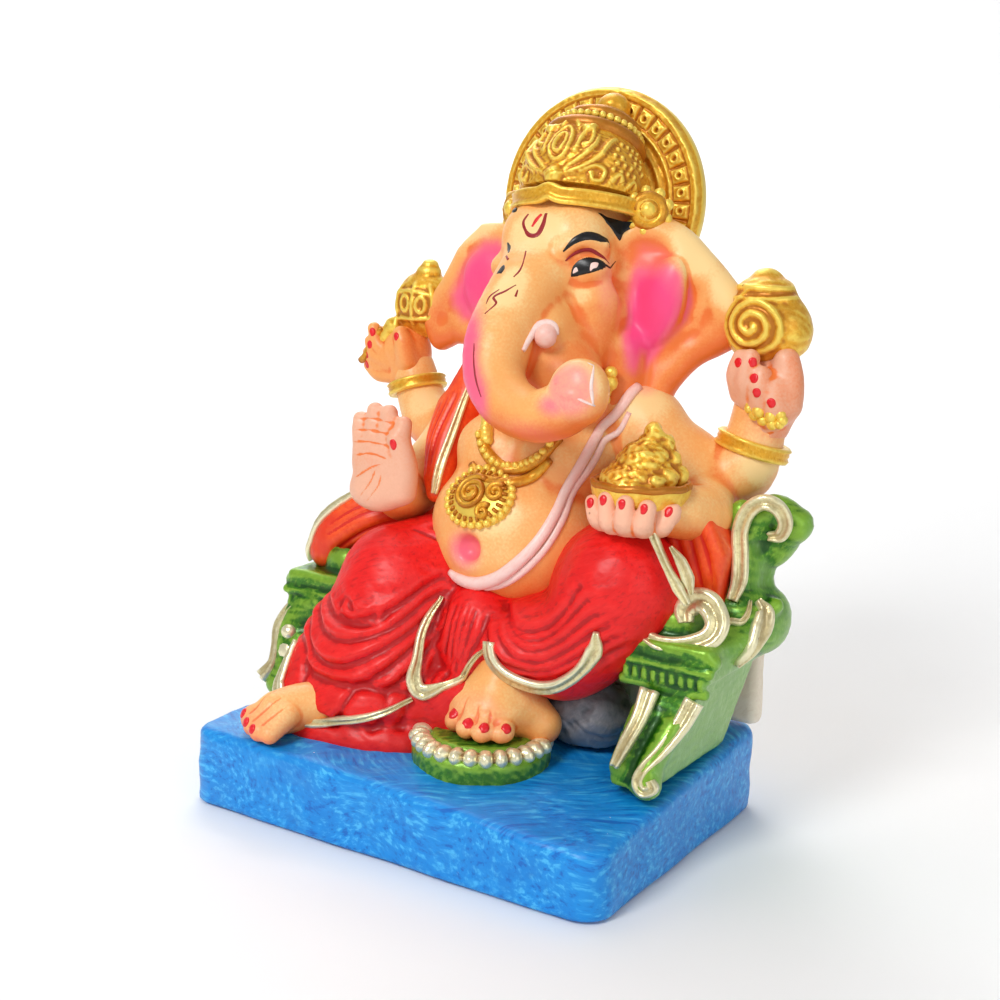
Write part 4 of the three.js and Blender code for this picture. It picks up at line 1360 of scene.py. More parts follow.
def makeRearHands():
    clay = Clay((54, 16, 116), (88, 50, 146), 0.4)
    clay.ball((71.8, 34, 127.5), (9.0, 8.8, 11), 3)
    clay.ball((69, 33.5, 118), (8.2, 7.4, 6), 3)
    fingers = [((65.0, 28.5, 128), (64.4, 26.0, 133.5), (65.8, 25.6, 138)),
               ((68, 27, 127), (68.2, 24.2, 133), (69, 24.6, 138.4)),
               ((72, 27, 124), (72.4, 24, 129.5), (72.6, 24.4, 134)), ((76, 28, 122), (76.6, 25.4, 126.5),
                       (76, 25.6, 130.4))]
    for path in fingers:
        clay.limb([(*p, 3.0 - 0.2 * k) for k, p in enumerate(path)], 1.8)
    clay.limb([(78, 30, 126, 4.6), (78.4, 30, 133, 4.2), (77.4, 30, 138, 3.6)], 3)

    def work(verts, normals):
        for path in ([(66, 24, 120), (72, 24.5, 122), (79, 26, 121)], [(64, 25, 114), (70, 24.6, 116.5),
                (78, 26, 116)]):
            verts = scored(verts, normals, clay.onto(flowing(path, 4)), 0.5, -0.35, 0.4)
        return verts + normals * (0.08 * wobble(verts, 5))[:, None]
    # Painted shade on the faces turned to the figure's left.
    sculpted("leftRearHand", clay, palmPaint, ["left_rear_hand"],
             lambda v, n: {"tan": 0.3 * ease(n[:, 0], -0.2, 0.8) + 0.25, "deep": 0.0, "blush": 0.04}, work)
    nails = [(66.2, 22.6, 137.1), (70.9, 22, 137.6), (71.5, 21.8, 133.2), (72.6, 21.8, 129.4),
             (76.6, 23, 126.8)]
    laid("leftRearNails", [nailDrop(clay, at, (1.5, 1.5)) for at in nails], nailPaint)
    other = Clay((-76, 16, 114), (-38, 50, 150), 0.4)
    other.ball((-56, 35, 131.5), (8.4, 7.6, 9), 3)
    other.ball((-53.5, 35, 124), (7, 6.6, 6), 3)
    for path in (((-60, 31, 130), (-64.5, 30.5, 133.5), (-66.5, 30.6, 138.5)),
                 ((-60, 31, 128), (-65.5, 30.5, 130), (-68, 31, 134.2)),
                 ((-60, 32, 126), (-66, 31.5, 127), (-69.6, 32.2, 130.4)),
                 ((-58, 32, 123.5), (-65, 32, 123.5), (-69.4, 32.6, 126.2))):
        other.limb([(*p, 2.7 - 0.25 * k) for k, p in enumerate(path)], 0.9)
    other.limb([(-52, 30, 129, 3.4), (-52.5, 28.6, 134, 3), (-54.2, 28.8, 137.6, 2.6)], 1.5)

    def otherWork(verts, normals):
        return verts + normals * (0.08 * wobble(verts, 5))[:, None]
    # Painted shade on the faces turned to the figure's left.
    sculpted("rightRearHand", other, skinPaint, ["right_rear_hand"],
             lambda v, n: {"tan": 0.4 + 0.2 * ease(n[:, 0], 0, 0.8), "deep": 0.0, "blush": 0.04}, otherWork)
    nails = [(-65.5, 27.6, 137.6), (-66.8, 27.8, 133.4), (-68.8, 29, 129.9), (-69.2, 29.4, 126.4),
             (-54.2, 25.8, 136.8)]
    laid("rightRearNails", [nailDrop(other, at, (1.35, 1.5)) for at in nails], nailPaint)


def makeFeet():
    clay = Clay((-10, -36, 24), (40, 4, 62), 0.4)
    clay.limb([(17, -8, 53, 8.0), (16.5, -10, 49, 8.6), (15.5, -13, 43, 9.2)], 3)
    clay.ball((14, -17, 37.5), (12.5, 10, 7.6), 4)
    clay.limb([(22, -11, 36, 7.6), (27, -10, 33, 6)], 4)
    toes = [((2.2, -18.5, 35.2), 3.9), ((8.1, -23.4, 34.8), 3.3), ((13.8, -26.4, 34.6), 3.2),
            ((19.0, -26.8, 34.4), 3.0),
            ((23.4, -23.6, 34.2), 2.9)]
    for (x, y, z), r in toes:
        clay.limb([(0.45 * x + 7.2, 0.45 * y - 9.5, 36.5, r + 0.5), (x, y, z, r),
                   (x - 0.3, y - 1.6, z - 0.6, r * 0.92)], 1.2)
    clay.slab((-10, -40, 10), (50, 10, 27.0), 0.5, cut=True, edge=0.2)

    # Painted shade on down-facing surfaces and higher up towards the ankle.
    def footShade(verts, normals):
        return 0.25 + 0.35 * ease(-normals[:, 2], -0.3, 0.6) + 0.3 * ease(verts[:, 2], 44, 60)

    def work(verts, normals):
        for (x, y, z), r in toes[:-1]:
            gap = clay.onto(flowing([(x + 3.2, y - 2.6, z + 1.5), (0.6 * x + 7.5, 0.6 * y - 8, 39.5)], 3))
            verts = scored(verts, normals, gap, 0.5, -0.4, 0.4)
        return verts + normals * (0.07 * wobble(verts, 5))[:, None]
    sculpted("leftFoot", clay, skinPaint, ["left_foot"],
             lambda v, n: {"tan": footShade(v, n), "deep": 0.0, "blush": 0.22 * ease(-20 - v[:, 1], 0, 6)},
             work)
    spots = [(-0.2, -21.2, 37.4), (8.1, -26.8, 36.8), (15.0, -29.6, 36.4), (20.4, -29.4, 36.2),
             (25.4, -25.6, 36)]
    laid("leftToeNails", [nailDrop(clay, at, (1.7, 1.9), 0) for at in spots], nailPaint)
    other = Clay((-64, -60, 20), (-26, -22, 46), 0.4)
    other.limb([(-34, -30, 31.5, 7.4), (-40, -36, 31, 7), (-43.5, -41.5, 30, 6.6)], 3)
    for x, y, z, r in ((-49.4, -45.4, 28.2, 4.0), (-46.4, -48.6, 27.6, 3.3), (-42.8, -50.4, 27, 3.0),
                       (-39.2, -50.2, 26.8, 2.9)):
        other.limb([(0.5 * x - 19, 0.5 * y - 18.5, 30.4, r + 0.8), (x, y, z, r)], 1.2)
    low = float(slabSurface(np.array(-46), np.array(-45))) - 1.5
    other.slab((-70, -70, 10), (-20, -10, low), 0.5, cut=True, edge=0.2)

    def otherWork(verts, normals):
        for a, b in (((-48, -48.6, 30), (-44, -41, 36)), ((-45, -50.6, 29), (-41, -43, 35)),
                     ((-41, -51, 28.6), (-37.5, -44, 34))):
            verts = scored(verts, normals, other.onto(flowing([a, b], 5)), 0.5, -0.4, 0.4)
        return verts + normals * (0.07 * wobble(verts, 5))[:, None]
    sculpted("rightFoot", other, skinPaint, ["right_foot"],
             lambda v, n: {"tan": footShade(v, n), "deep": 0.0, "blush": 0.2 * ease(-40 - v[:, 1], 0, 8)},
             otherWork)
    spots = [(-51.4, -48.4, 30.2), (-47.8, -52, 29.4), (-43.8, -53.6, 28.6)]
    laid("rightToeNails", [nailDrop(other, at, (1.6, 1.9)) for at in spots], nailPaint)


# The crown. Its tiers stand on a spine that leans back towards the halo.
crownRows = [  # share of the height, middle, radius, backward tilt in degrees
    (0.00, (12.0, 28.0, 176.4), 20.4, 9), (0.14, (12.0, 28.0, 180.4), 20.2, 11),
    (0.17, (12.0, 28.2, 181.2), 19.0, 12),
    (0.45, (12.2, 29.4, 188.5), 18.6, 19), (0.66, (12.6, 31.0, 194.4), 15.0, 25),
    (0.80, (13.2, 33.5, 199.6), 12.2, 25),
    (1.00, (14.6, 36.5, 204.5), 6.5, 26)]


def crownFrame(t):
    table = np.array([(s, *m, r, a) for s, m, r, a in crownRows], float)
    s = table[:, 0]
    return [np.interp(t, s, table[:, k]) for k in range(1, 6)]


def crownSpot(turn, t, out=0.0):
    # turn is in degrees from the crown's front, to the figure's left
    x, y, z, r, tilt = crownFrame(np.asarray(t, float))
    a = np.radians(np.asarray(turn, float) - 90)
    tilt = np.radians(tilt)
    r = r + out
    return np.stack([x + r * np.cos(a), y + r * np.sin(a) * np.cos(tilt), z - r * np.sin(a) * np.sin(tilt)],
                    -1)


def crownTrail(points, per=6):
    path = flowing([(p[0], p[1], 0) for p in points], per)
    return crownSpot(path[:, 0], path[:, 1])


def crownDesign():
    # raised lines on the dome as (path, width, height)
    marks = []
    for share, tall in ((1.0, 0.9), (0.55, 1.1)):
        oval = [(9.5 * share * math.cos(a), 0.50 + 0.145 * share * math.sin(a)) for a in np.linspace(0,
                2 * math.pi, 15)]
        marks.append((crownTrail(oval, 3), 0.75, tall, 0))
    for side in (1, -1):
        def trail(points):
            return crownTrail([(side * a, t) for a, t in points])
        marks.append((trail([(9, 0.24), (24, 0.30), (38, 0.42), (46, 0.56), (52, 0.62)]), 0.9, 1.3, 0.3))
        marks.append((trail([(10, 0.28), (22, 0.38), (32, 0.50), (34, 0.60)]), 0.8, 1.1, 0.3))
        marks.append((trail([(24, 0.27), (36, 0.33), (44, 0.30), (42, 0.22), (35, 0.21), (33, 0.27)]), 0.8,
                      1.2, 0.3))
        marks.append((trail([(16, 0.44), (20, 0.60), (28, 0.62), (28, 0.52), (22, 0.50)]), 0.8, 1.1, 0.3))
        marks.append((trail([(50, 0.22), (58, 0.30), (62, 0.24)]), 1.0, 1.1, 0.3))
        marks.append((trail([(66, 0.20), (74, 0.28), (79, 0.22)]), 0.9, 0.9, 0.3))
        marks.append((trail([(13, 0.70), (20, 0.63), (30, 0.68)]), 0.7, 0.8, 0.3))
        marks.append((trail([(2, 0.78), (7, 0.70), (12, 0.66)]), 0.9, 1.2, 0.4))
        for i in range(5):
            for j in range(5):
                if (i + j) % 5 != 4:
                    spot = crownSpot(side * (52 + 7.5 * i + 3 * (j % 2)), 0.34 + 0.065 * j)
                    marks.append((np.stack([spot, spot + (0.05, 0.05, 0.05)]), 0.62, 0.8, 0))
    marks.append((crownTrail([(0, 0.86), (0, 0.74), (0, 0.68)]), 1.3, 1.0, 0.4))
    return marks


def crownSurface(t0, t1, rows, around):
    t = np.linspace(t0, t1, rows)
    turn = np.linspace(-180, 180, around, endpoint=False)
    verts = crownSpot(turn[None, :], t[:, None]).reshape(-1, 3)
    return verts, np.concatenate(joinedRings(rows, around))


def closedEnds(verts, faces, around, rows):
    bottom, top = verts[:around].mean(0), verts[-around:].mean(0)
    ring = np.arange(around)
    step = np.roll(ring, -1)
    n = len(verts)
    last = (rows - 1) * around
    ends = [np.stack([step, ring, np.full(around, n)], 1),
            np.stack([last + ring, last + step, np.full(around, n + 1)], 1)]
    return np.concatenate([verts, [bottom, top]]), [faces, np.concatenate(ends)]


def makeCrown():
    around, rows = ((460, 120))
    verts, faces = crownSurface(0.17, 0.72, rows, around)
    normals = normalsOf(verts, faces)
    for path, width, height, taper in crownDesign():
        gap, where = nearPath(verts, path, 3)
        fade = np.sin(np.clip(where, 0.02, 0.98) * math.pi) ** taper if taper else 1
        verts = verts + normals * (height * fade * np.exp(-(gap / width) ** 2))[:, None]
    boss = np.exp(-(np.linalg.norm(verts - crownSpot(0, 0.22, 0.5), axis=1) / 2.6) ** 4)
    verts = verts + normals * (1.9 * boss)[:, None]
    knob = sum(np.exp(-(np.linalg.norm(verts - crownSpot(s * 24, 0.66), axis=1) / 2.0) ** 4) for s in (1,
            -1))
    verts = verts + normals * (1.2 * knob + 0.10 * wobble(verts, 2.2) + 0.10 * wobble(verts, 5))[:, None]
    shade = evened(hollowness(verts, faces, 6))
    verts, faces = closedEnds(verts, faces, around, rows)
    piece("crownDome", verts, faces, goldPaint, ["crown_dome"], {"hollow": np.append(shade, (0, 0))})
    # the band round the forehead
    ring = np.linspace(-180, 180, 121)[:-1]
    lift = 1.3 * np.exp(-(ring / 7) ** 2)
    path = crownSpot(ring, 0.05) + np.stack([0 * ring, 0 * ring, lift], 1)
    path = np.concatenate([path, path[:2]])
    section = [(-2.3, -1.6), (-2.3, 0.3), (-1.9, 0.8), (-1.2, 0.7), (0.2, 0.5), (0.9, 0.7), (1.3, 1.2),
               (2.0, 1.3), (2.5, 0.7), (2.5, -1.6)]
    out = path - np.array((12.0, 28.5, 0)) * (1, 1, 0)
    out[:, 2] = 0
    laid("crownBand", [sweep(path, section, 1.0, 1.0, out)], goldPaint, ["crown_band"])


def makeCrownTiers():
    parts = []

    def torus(t, extra, fat, squeeze=0.9):
        ring = np.linspace(-180, 180, 97)
        path = crownSpot(ring, t, extra)
        middle = path[:-1].mean(0)
        parts.append(sweep(path, roundSection, fat, fat * squeeze, path - middle))
    torus(0.72, -0.4, 2.2)
    torus(0.89, 0.4, 1.7)
    torus(0.975, -0.2, 1.2)
    for turn in np.arange(-180, 180, 10):
        at = crownSpot(turn, 0.805, 0.6)
        parts.append(pearl(at, 1.15, turn))
    laid("crownUpperTier", parts, goldPaint, ["crown_upper_tier"])
    middle = np.array((15.2, 37.6, 206.0))
    lean = np.array((0.02, 0.30, 0.95))
    lean /= np.linalg.norm(lean)
    side = np.cross(lean, (0, 1, 0))
    side /= np.linalg.norm(side)
    fore = np.cross(side, lean)
    profile = [(5.6, -3), (5.8, -1.4), (5.0, -0.4), (4.7, 0.4), (5.0, 1.4), (4.9, 2.6), (4.3, 4.0),
               (3.1, 5.2), (1.8, 5.9),
               (0.3, 6.2)]
    fine = flowing([(r, h, 0) for r, h in profile], 4)
    around = 48
    a = np.linspace(0, 2 * math.pi, around, endpoint=False)
    rows = [middle + lean * h + np.outer(np.cos(a), side) * r + np.outer(np.sin(a), fore) * r for r, h,
            _ in fine]
    faces = np.concatenate(joinedRings(len(rows), around))
    verts, faces = closedEnds(np.concatenate(rows), faces, around, len(rows))
    piece("crownFinial", verts, faces, goldPaint, ["crown_finial"], {"hollow": 0.0})


def pearl(at, size, seed=0):
    verts, n, m = [], 6, 10
    for u in np.linspace(0, math.pi, n + 1):
        for v in np.linspace(0, 2 * math.pi, m, endpoint=False):
            verts.append((math.sin(u) * math.cos(v), math.sin(u) * math.sin(v), math.cos(u)))
    ring = np.arange(m)
    step = np.roll(ring, -1)
    faces = np.concatenate([np.stack([k * m + ring, (k + 1) * m + ring, (k + 1) * m + step, k * m + step],
                                     1)
                            for k in range(n)])
    scale = np.array((1 + 0.1 * math.sin(seed), 1 + 0.1 * math.cos(2 * seed),
                      1 + 0.08 * math.sin(3 * seed)))
    return np.array(at) + np.array(verts) * scale * size, faces


haloForm = {"middle": (9.3, 181.0), "radius": 33.8, "front": 42.4, "back": 48.6, "studs": 34}


def makeHalo():
    form = haloForm
    cx, cz = form["middle"]
    around, rows = ((620, 150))
    r = np.linspace(0.5, form["radius"], rows)
    a = np.linspace(0, 2 * math.pi, around, endpoint=False)
    rr, aa = np.meshgrid(r, a, indexing="ij")
    rise = 0.4 + 0 * rr
    for ridge, high in ((24.4, 1.2), (21.0, 0.9), (18.0, 0.9), (15.0, 0.8)):
        rise = rise + high * np.exp(-((rr - ridge) / 0.85) ** 2)
    rise = rise + 1.0 * ease(rr, 30.3, 31.4)
    turn = aa * form["studs"] / (2 * math.pi)
    inCell = turn - np.floor(turn) - 0.5
    across, along = np.abs(inCell) * 2 * math.pi * rr / form["studs"], np.abs(rr - 28.0)
    box = np.maximum(across - 2.15, along - 2.5)
    rise = rise + 1.15 * (1 - ease(box, -0.5, 0.35))
    hole = np.hypot(across, along)
    rise = rise + 0.3 * np.exp(-((hole - 1.1) / 0.4) ** 2) - 1.3 * np.exp(-(hole / 0.5) ** 2)
    rise = rise - 2.6 * ease(rr, form["radius"] - 1.6, form["radius"]) ** 2
    x, z = cx + rr * np.cos(aa), cz + rr * np.sin(aa)
    y = form["front"] - rise
    front = np.stack([x, y, z], 2).reshape(-1, 3)
    front = front + 0.14 * wobble(front, 3.3)[:, None] * (0, -1, 0) + 0.10 * wobble(front, 7, 2)[:,
            None] * (1, -1, 1)
    ring = np.arange(around)
    step = np.roll(ring, -1)
    backRows = [(33.8, 44.5), (33.6, 46.5), (32.8, 48.2), (31.0, 48.6), (16.0, 48.8), (0.5, 48.8)]
    back = [np.stack([cx + q * np.cos(a), 0 * a + depth, cz + q * np.sin(a)], 1) for q, depth in backRows]
    verts = np.concatenate([front] + back + [[(cx, front[0, 1], cz), (cx, 48.8, cz)]])
    total = rows + len(backRows)
    faces = [np.stack([i * around + step, (i + 1) * around + step, (i + 1) * around + ring,
                       i * around + ring], 1)
             for i in range(total - 1)]
    n = total * around
    caps = np.concatenate([np.stack([ring, step, np.full(around, n)], 1)[:, ::-1],
                           np.stack([(total - 1) * around + ring, (total - 1) * around + step,
                                     np.full(around, n + 1)], 1)])
    quads = np.concatenate(faces)
    if normalsOf(verts, quads)[:around * rows, 1].mean() > 0:
        quads, caps = quads[:, ::-1], caps[:, ::-1]
    shade = evened(hollowness(verts, quads, 6))
    piece("haloDisc", verts, [quads, caps], goldPaint, ["halo_disc"], {"hollow": shade})


def makeRosettes():
    for side, name in ((1, "left"), (-1, "right")):
        parts = []
        middle = np.array((12.5 + side * 22.3, 25.5, 177.8))
        face = np.array((side * 0.45, -0.88, 0.12))
        face /= np.linalg.norm(face)
        u = np.cross(face, (0, 0, 1))
        u /= np.linalg.norm(u)
        w = np.cross(u, face)

        def at(radius, turn, out):
            return middle + u * radius * math.cos(turn) + w * radius * math.sin(turn) + face * out
        for radius, out, fat in ((4.0, 0.2, 1.7), (1.7, 1.6, 1.25)):
            path = [at(radius, t, out) for t in np.linspace(0, 2 * math.pi, 33)]
            parts.append(sweep(path, roundSection, fat, fat, face))
        parts.append(pearl(middle + face * 1.2, 2.6))
        parts.append(pearl(middle - face * 1.5, 4.6))
        for turn in np.arange(0, 360, 40):
            parts.append(pearl(at(5.7, math.radians(turn), -0.6), 1.7, turn))
        laid(name + "CrownRosette", parts, goldPaint, [name + "_crown_rosette"])


# Shawl, trims, jewellery and what the hands hold.
def makeShawls():
    clay = Clay((-48, -8, 88), (-8, 40, 134), 0.5)
    clay.limb([(-18, 21, 128, 6), (-21, 18, 118, 7), (-22, 12, 108, 6.5), (-21.5, 6, 99, 5),
               (-20, 3, 93, 3.5)], 3)
    clay.limb([(-26, 20, 116, 6), (-27, 15, 108, 5), (-26, 11, 101, 4)], 3)

    def work(verts, normals):
        for i in range(4):
            path = [(-20 - 4 * i, 10 + i, 124 - 2 * i), (-23 - 3.4 * i, 4 + 2 * i, 110 - i),
                    (-22 - 2 * i, -1 + 2 * i, 98)]
            verts = scored(verts, normals, clay.onto(flowing(path, 4), 16), 0.9, -0.7, 0.3)
        return verts
    sculpted("shoulderShawl", clay, orangePaint, ["shawl_shoulder"], None, work)
    edge = [(-16, 15, 129), (-16.2, 9.5, 120), (-16.6, 5.0, 111), (-17.2, 0.8, 103), (-17.6, -1.6, 97),
            (-18.2, -2, 93)]
    laid("shawlTrim", [leafOn(clay, edge, [0.6, 1.2, 1.4, 1.5, 1.4, 1.0], 0.9)], paleGold)
    side = Clay((44, -12, 66), (84, 36, 106), 0.55)
    side.sheet([(52, 64), (50, 92), (57, 100), (68, 98), (73, 86), (72, 70), (66, 64)], 16,
               lambda x, z: 14 - 0.12 * (z - 70), 3, 3)

    def sideWork(verts, normals):
        for i in range(4):
            path = [(54 + 4 * i, 2, 96 - i), (57 + 4 * i, 3, 84), (62 + 3.2 * i, 4, 72)]
            verts = scored(verts, normals, side.onto(flowing(path, 4), 16), 1.2, -0.8, 0.3)
        return verts + normals * (0.3 * wobble(verts, 9))[:, None]
    sculpted("leftShawlEnd", side, orangePaint, ["shawl_left_end"], None, sideWork)
    other = Clay((-80, -18, 56), (-28, 40, 102), 0.55)
    other.limb([(-38, 14, 84, 9), (-48, 8, 82, 8.5), (-57, 4, 76, 7.5), (-61, 2, 69, 6)], 3)
    other.limb([(-40, 18, 76, 10), (-52, 12, 73, 8), (-58, 8, 69, 7)], 3)

    def otherWork(verts, normals):
        for i in range(4):
            path = [(-34, -1 + 3 * i, 91 - 4.5 * i), (-46, -4 + 3 * i, 88 - 5 * i),
                    (-58, -6 + 3 * i, 79 - 4 * i)]
            verts = scored(verts, normals, other.onto(flowing(path, 4), 16), 1.0, -0.9, 0.3)
        return verts
    sculpted("rightShawlEnd", other, orangePaint, ["shawl_right_end"], None, otherWork)
    rim = [(-48, 3, 91), (-54, 1.0, 87.5), (-60, -0.5, 82), (-64.5, -1, 75.5), (-67, -1.5, 69),
           (-68, -2, 64)]
    laid("rightShawlTrim", [leafOn(other, rim, [0.8, 1.4, 1.8, 2.0, 1.8, 1.0], 1.2)], paleGold)


def makeSash():
    stem = [(58.8, -10.5, 93.5), (61.6, -10.6, 88.5), (64.4, -10.8, 84), (67.4, -10.6, 79.5),
            (70, -9.8, 75.5)]
    leaf = [(64, -9.4, 90), (67, -9.2, 86.5), (69.2, -8.8, 82), (70.4, -8.6, 78)]
    laid("sashTail", [band(stem, [1.3, 1.1, 1.1, 1.6, 1.0], 1.3, (0.1, -1, 0.2)),
                      band(leaf, [0.5, 1.5, 1.8, 0.6], 1.2, (0.35, -1, 0.2))], paleGold, ["sash_tail"])


def rolled(ground, points, radius, per=6, rise=0.3, squeeze=0.75):
    path = ground.onto(flowing(points, per), 16)
    up = ground.slope(path)
    n = len(path)
    radius = np.interp(np.linspace(0, 1, n), np.linspace(0, 1, len(np.atleast_1d(radius))),
                       np.atleast_1d(radius))
    return sweep(path + up * rise, roundSection, radius, radius * squeeze, up)


def makeHems(drape):
    cuff = [(-52, -27, 48), (-54, -31, 41), (-54, -35, 35), (-49, -40, 31), (-40, -43, 29.6),
            (-30, -43, 29.6),
            (-20, -40, 31), (-11.5, -35, 34), (-4.6, -29, 38.4)]
    laid("rightHemTrim", [leafOn(drape, cuff, [0.9, 2.4, 3.2, 2.6, 1.5, 1.3, 1.3, 1.1, 0.7], 1.0)],
         paleGold, ["right_hem_trim"])
    cuff = [(16.6, -19, 57.4), (16.4, -21.6, 52.4), (19.8, -22.6, 48.0), (25.4, -22.8, 45.6),
            (31.6, -22.4, 45.4), (38, -20.6, 48.4),
            (43.2, -18.4, 54), (46.6, -17, 60.4), (47.4, -17, 66.0)]
    laid("leftHemTrim", [leafOn(drape, cuff, [2.4, 2.9, 3.0, 2.8, 2.4, 1.9, 1.8, 2.4, 0.8], 1.2)],
         paleGold, ["left_hem_trim"])
    pleat = [(-3.4, -19, 69.4), (-5.6, -21, 60), (-7.4, -23, 50), (-7.0, -25, 43.6), (-3.4, -26, 40.2),
             (2.6, -25, 44),
             (8.4, -24, 49.4), (13.8, -22, 55.6)]
    laid("pleatTrim", [leafOn(drape, pleat, [0.6, 1.2, 1.5, 2.3, 2.4, 1.2, 0.9, 0.6], 1.0)],
         paleGold, ["pleat_trim"])


def makeJewels(torso):
    parts = []
    for i, z in enumerate(np.linspace(122, 110.5, 9)):
        at = torso.onto(np.array([(-4.6 + 0.45 * i, 4 - 0.4 * i, z)]))[0]
        parts.append(pearl(at + torso.slope(at[None])[0] * 0.7, 2.1, i))
    chain = [(-3.5, 2.0, 112), (0.5, -1.6, 107.2), (6.5, -3.8, 104.8), (13, -2.4, 105.4),
             (18.5, 1.0, 107.8), (22.5, 5, 111)]
    parts.append(rolled(torso, chain, [1.6, 2.0, 2.2, 2.2, 2.0, 1.4], rise=0.9))
    second = [(-4.8, -3, 104), (0, -6, 101.4), (5.6, -6.8, 100.4), (12, -6, 101.0), (17.5, -2.6, 103.6),
              (21.4, 1.5, 107.4)]
    parts.append(rolled(torso, second, [1.2, 1.7, 1.9, 1.9, 1.6, 1.0], rise=0.6))
    for t in np.linspace(0.05, 0.95, 15):
        path = torso.onto(flowing(chain, 6), 12)
        at = path[int(t * (len(path) - 1))]
        parts.append(pearl(at + torso.slope(at[None])[0] * 2.3, 1.15, t * 9))
    laid("necklaceBeads", parts, goldPaint, ["necklace"])
    parts = []
    middle = torso.onto(np.array([(2.8, -10.5, 96.6)]))[0]
    up = torso.slope(middle[None])[0]
    side = np.cross(up, (0, 0, 1))
    side = -side / np.linalg.norm(side)
    tall = np.cross(up, side) * -1
    tall = tall * np.sign(tall[2])
    plate = []
    for k, share in enumerate((1.0, 0.92, 0.7, 0.4)):
        ring = [middle + side * 12.0 * share * math.cos(a) * (1 - 0.12 * math.sin(a)) + tall * (9.8 * share * math.sin(a))
                for a in np.linspace(0, 2 * math.pi, 57)[:-1]]
        plate.append(torso.onto(np.array(ring), 6) + up * (0.2, 1.2, 1.5, 1.6)[k])
    m = 56
    ring = np.arange(m)
    step = np.roll(ring, -1)
    faces = joinedRings(4, m)
    verts = np.concatenate(plate + [[middle + up * 1.7]])
    faces.append(np.stack([3 * m + ring, 3 * m + step, np.full(m, 4 * m), np.full(m, 4 * m)], 1))
    under = torso.onto(plate[0], 2) - up * 1.0
    base = len(verts)
    verts = np.concatenate([verts, under, [middle - up * 1.2]])
    faces.append(np.stack([base + ring, base + step, step, ring], 1))
    faces.append(np.stack([base + step, base + ring, np.full(m, base + m), np.full(m, base + m)], 1))
    faces = np.concatenate(faces)
    if (np.cross(verts[faces[0, 1]] - verts[faces[0, 0]],
                 verts[faces[0, 2]] - verts[faces[0, 0]]) @ up) < 0:
        faces = np.where((faces[:, 2] == faces[:, 3])[:, None], faces[:, [1, 0, 2, 3]], faces[:, ::-1])
    parts.append((verts, faces))

    def onPlate(u, v, lift):
        p = middle + side * u + tall * v
        return torso.onto(p[None], 6)[0] + up * lift
    for cu, cv, size, turns in ((-1.6, 0.4, 5.6, 2.4), (6.4, 1.8, 3.0, 1.6), (4.6, -5.0, 2.4, 1.3)):
        curl = [onPlate(cu + size * (1 - 0.85 * t) * math.cos(turns * 6.28 * t + 1),
                        cv + size * (1 - 0.85 * t)
                        * math.sin(turns * 6.28 * t + 1), 1.9) for t in np.linspace(0, 1, 48)]
        parts.append(sweep(curl, roundSection, np.linspace(0.95, 0.6, 48), 0.9, up))
    for i in range(26):
        a = math.pi * 2 * i / 26
        u, v = math.cos(a), math.sin(a)
        parts.append(pearl(onPlate(11.6 * u, 9.5 * v, 1.0), 1.25, i))
        rib = [onPlate(8.4 * u, 7.2 * v, 1.6), onPlate(9.2 * u, 7.9 * v, 1.7),
               onPlate(10.2 * u, 8.6 * v, 1.3)]
        parts.append(sweep(rib, roundSection, 0.55, 0.6, up))
    laid("pendantCast", parts, goldPaint, ["pendant"])
    thread = [(37.5, 19, 131), (35.4, 13.5, 124), (33.0, 8.5, 118), (30.6, 4.4, 111), (28.6, 0.8, 104),
              (26.8, -3.6, 95.5),
              (23.4, -8.0, 86.5), (18.6, -11.2, 79.6), (12, -13, 73.6), (4.5, -13, 70.4), (-2, -11.6, 70.8),
              (-5.4, -10, 72.6)]
    second = [(x + 2.0, y + 0.6, z - 2.4) for x, y, z in thread[1:-2]]
    laid("sacredThread", [rolled(torso, thread, [1.7, 1.6, 1.4, 1.5, 1.5, 1.5, 1.6, 1.8, 2.0, 2.2, 2.0,
            1.2], rise=0.5),
                          rolled(torso, second, [0.8, 1.0, 1.1, 1.1, 1.1, 1.1, 1.2, 1.1, 0.8], rise=0.1)],
         whitePaint, ["sacred_thread"])


def makeTusk(head):
    path = [(18.8, -1, 145.0), (21.0, -5.5, 143.0), (22.4, -8.8, 141.4)]
    fine = flowing(path, 6)
    radius = np.interp(np.linspace(0, 1, len(fine)), [0, 0.75, 0.93, 1], [3.0, 3.1, 2.6, 1.4])
    ring = [(15.8, -12.6, 138.4), (16.6, -10.2, 141.4), (18.0, -7.6, 144.2), (20.6, -5.4, 146.0),
            (23.4, -4.6, 145.4),
            (25.0, -5.0, 143.0)]
    laid("leftTusk", [sweep(fine, roundSection, radius, radius, (0, 0, 1)),
                      rolled(head, ring, [0.7, 1.0, 1.3, 1.1, 0.6], rise=0.3)], whitePaint, ["left_tusk"])


def bangle(middle, axis, radius, wide, fat):
    axis = np.array(axis, float) / np.linalg.norm(axis)
    u = np.cross(axis, (0, 1, 0))
    u /= np.linalg.norm(u)
    w = np.cross(axis, u)
    section = [(-1, -1.0), (-1, 0.5), (-0.75, 0.95), (-0.45, 0.6), (-0.1, 0.75), (0.2, 0.55), (0.55, 0.95),
               (0.9, 0.7), (1, -1.0)]
    turns = np.linspace(0, 2 * math.pi, 57)
    out = np.cos(turns)[:, None] * u * radius[0] + np.sin(turns)[:, None] * w * radius[1]
    up = out / np.linalg.norm(out, axis=1)[:, None]
    return [sweep(np.array(middle) + out, section, wide, fat, up)]


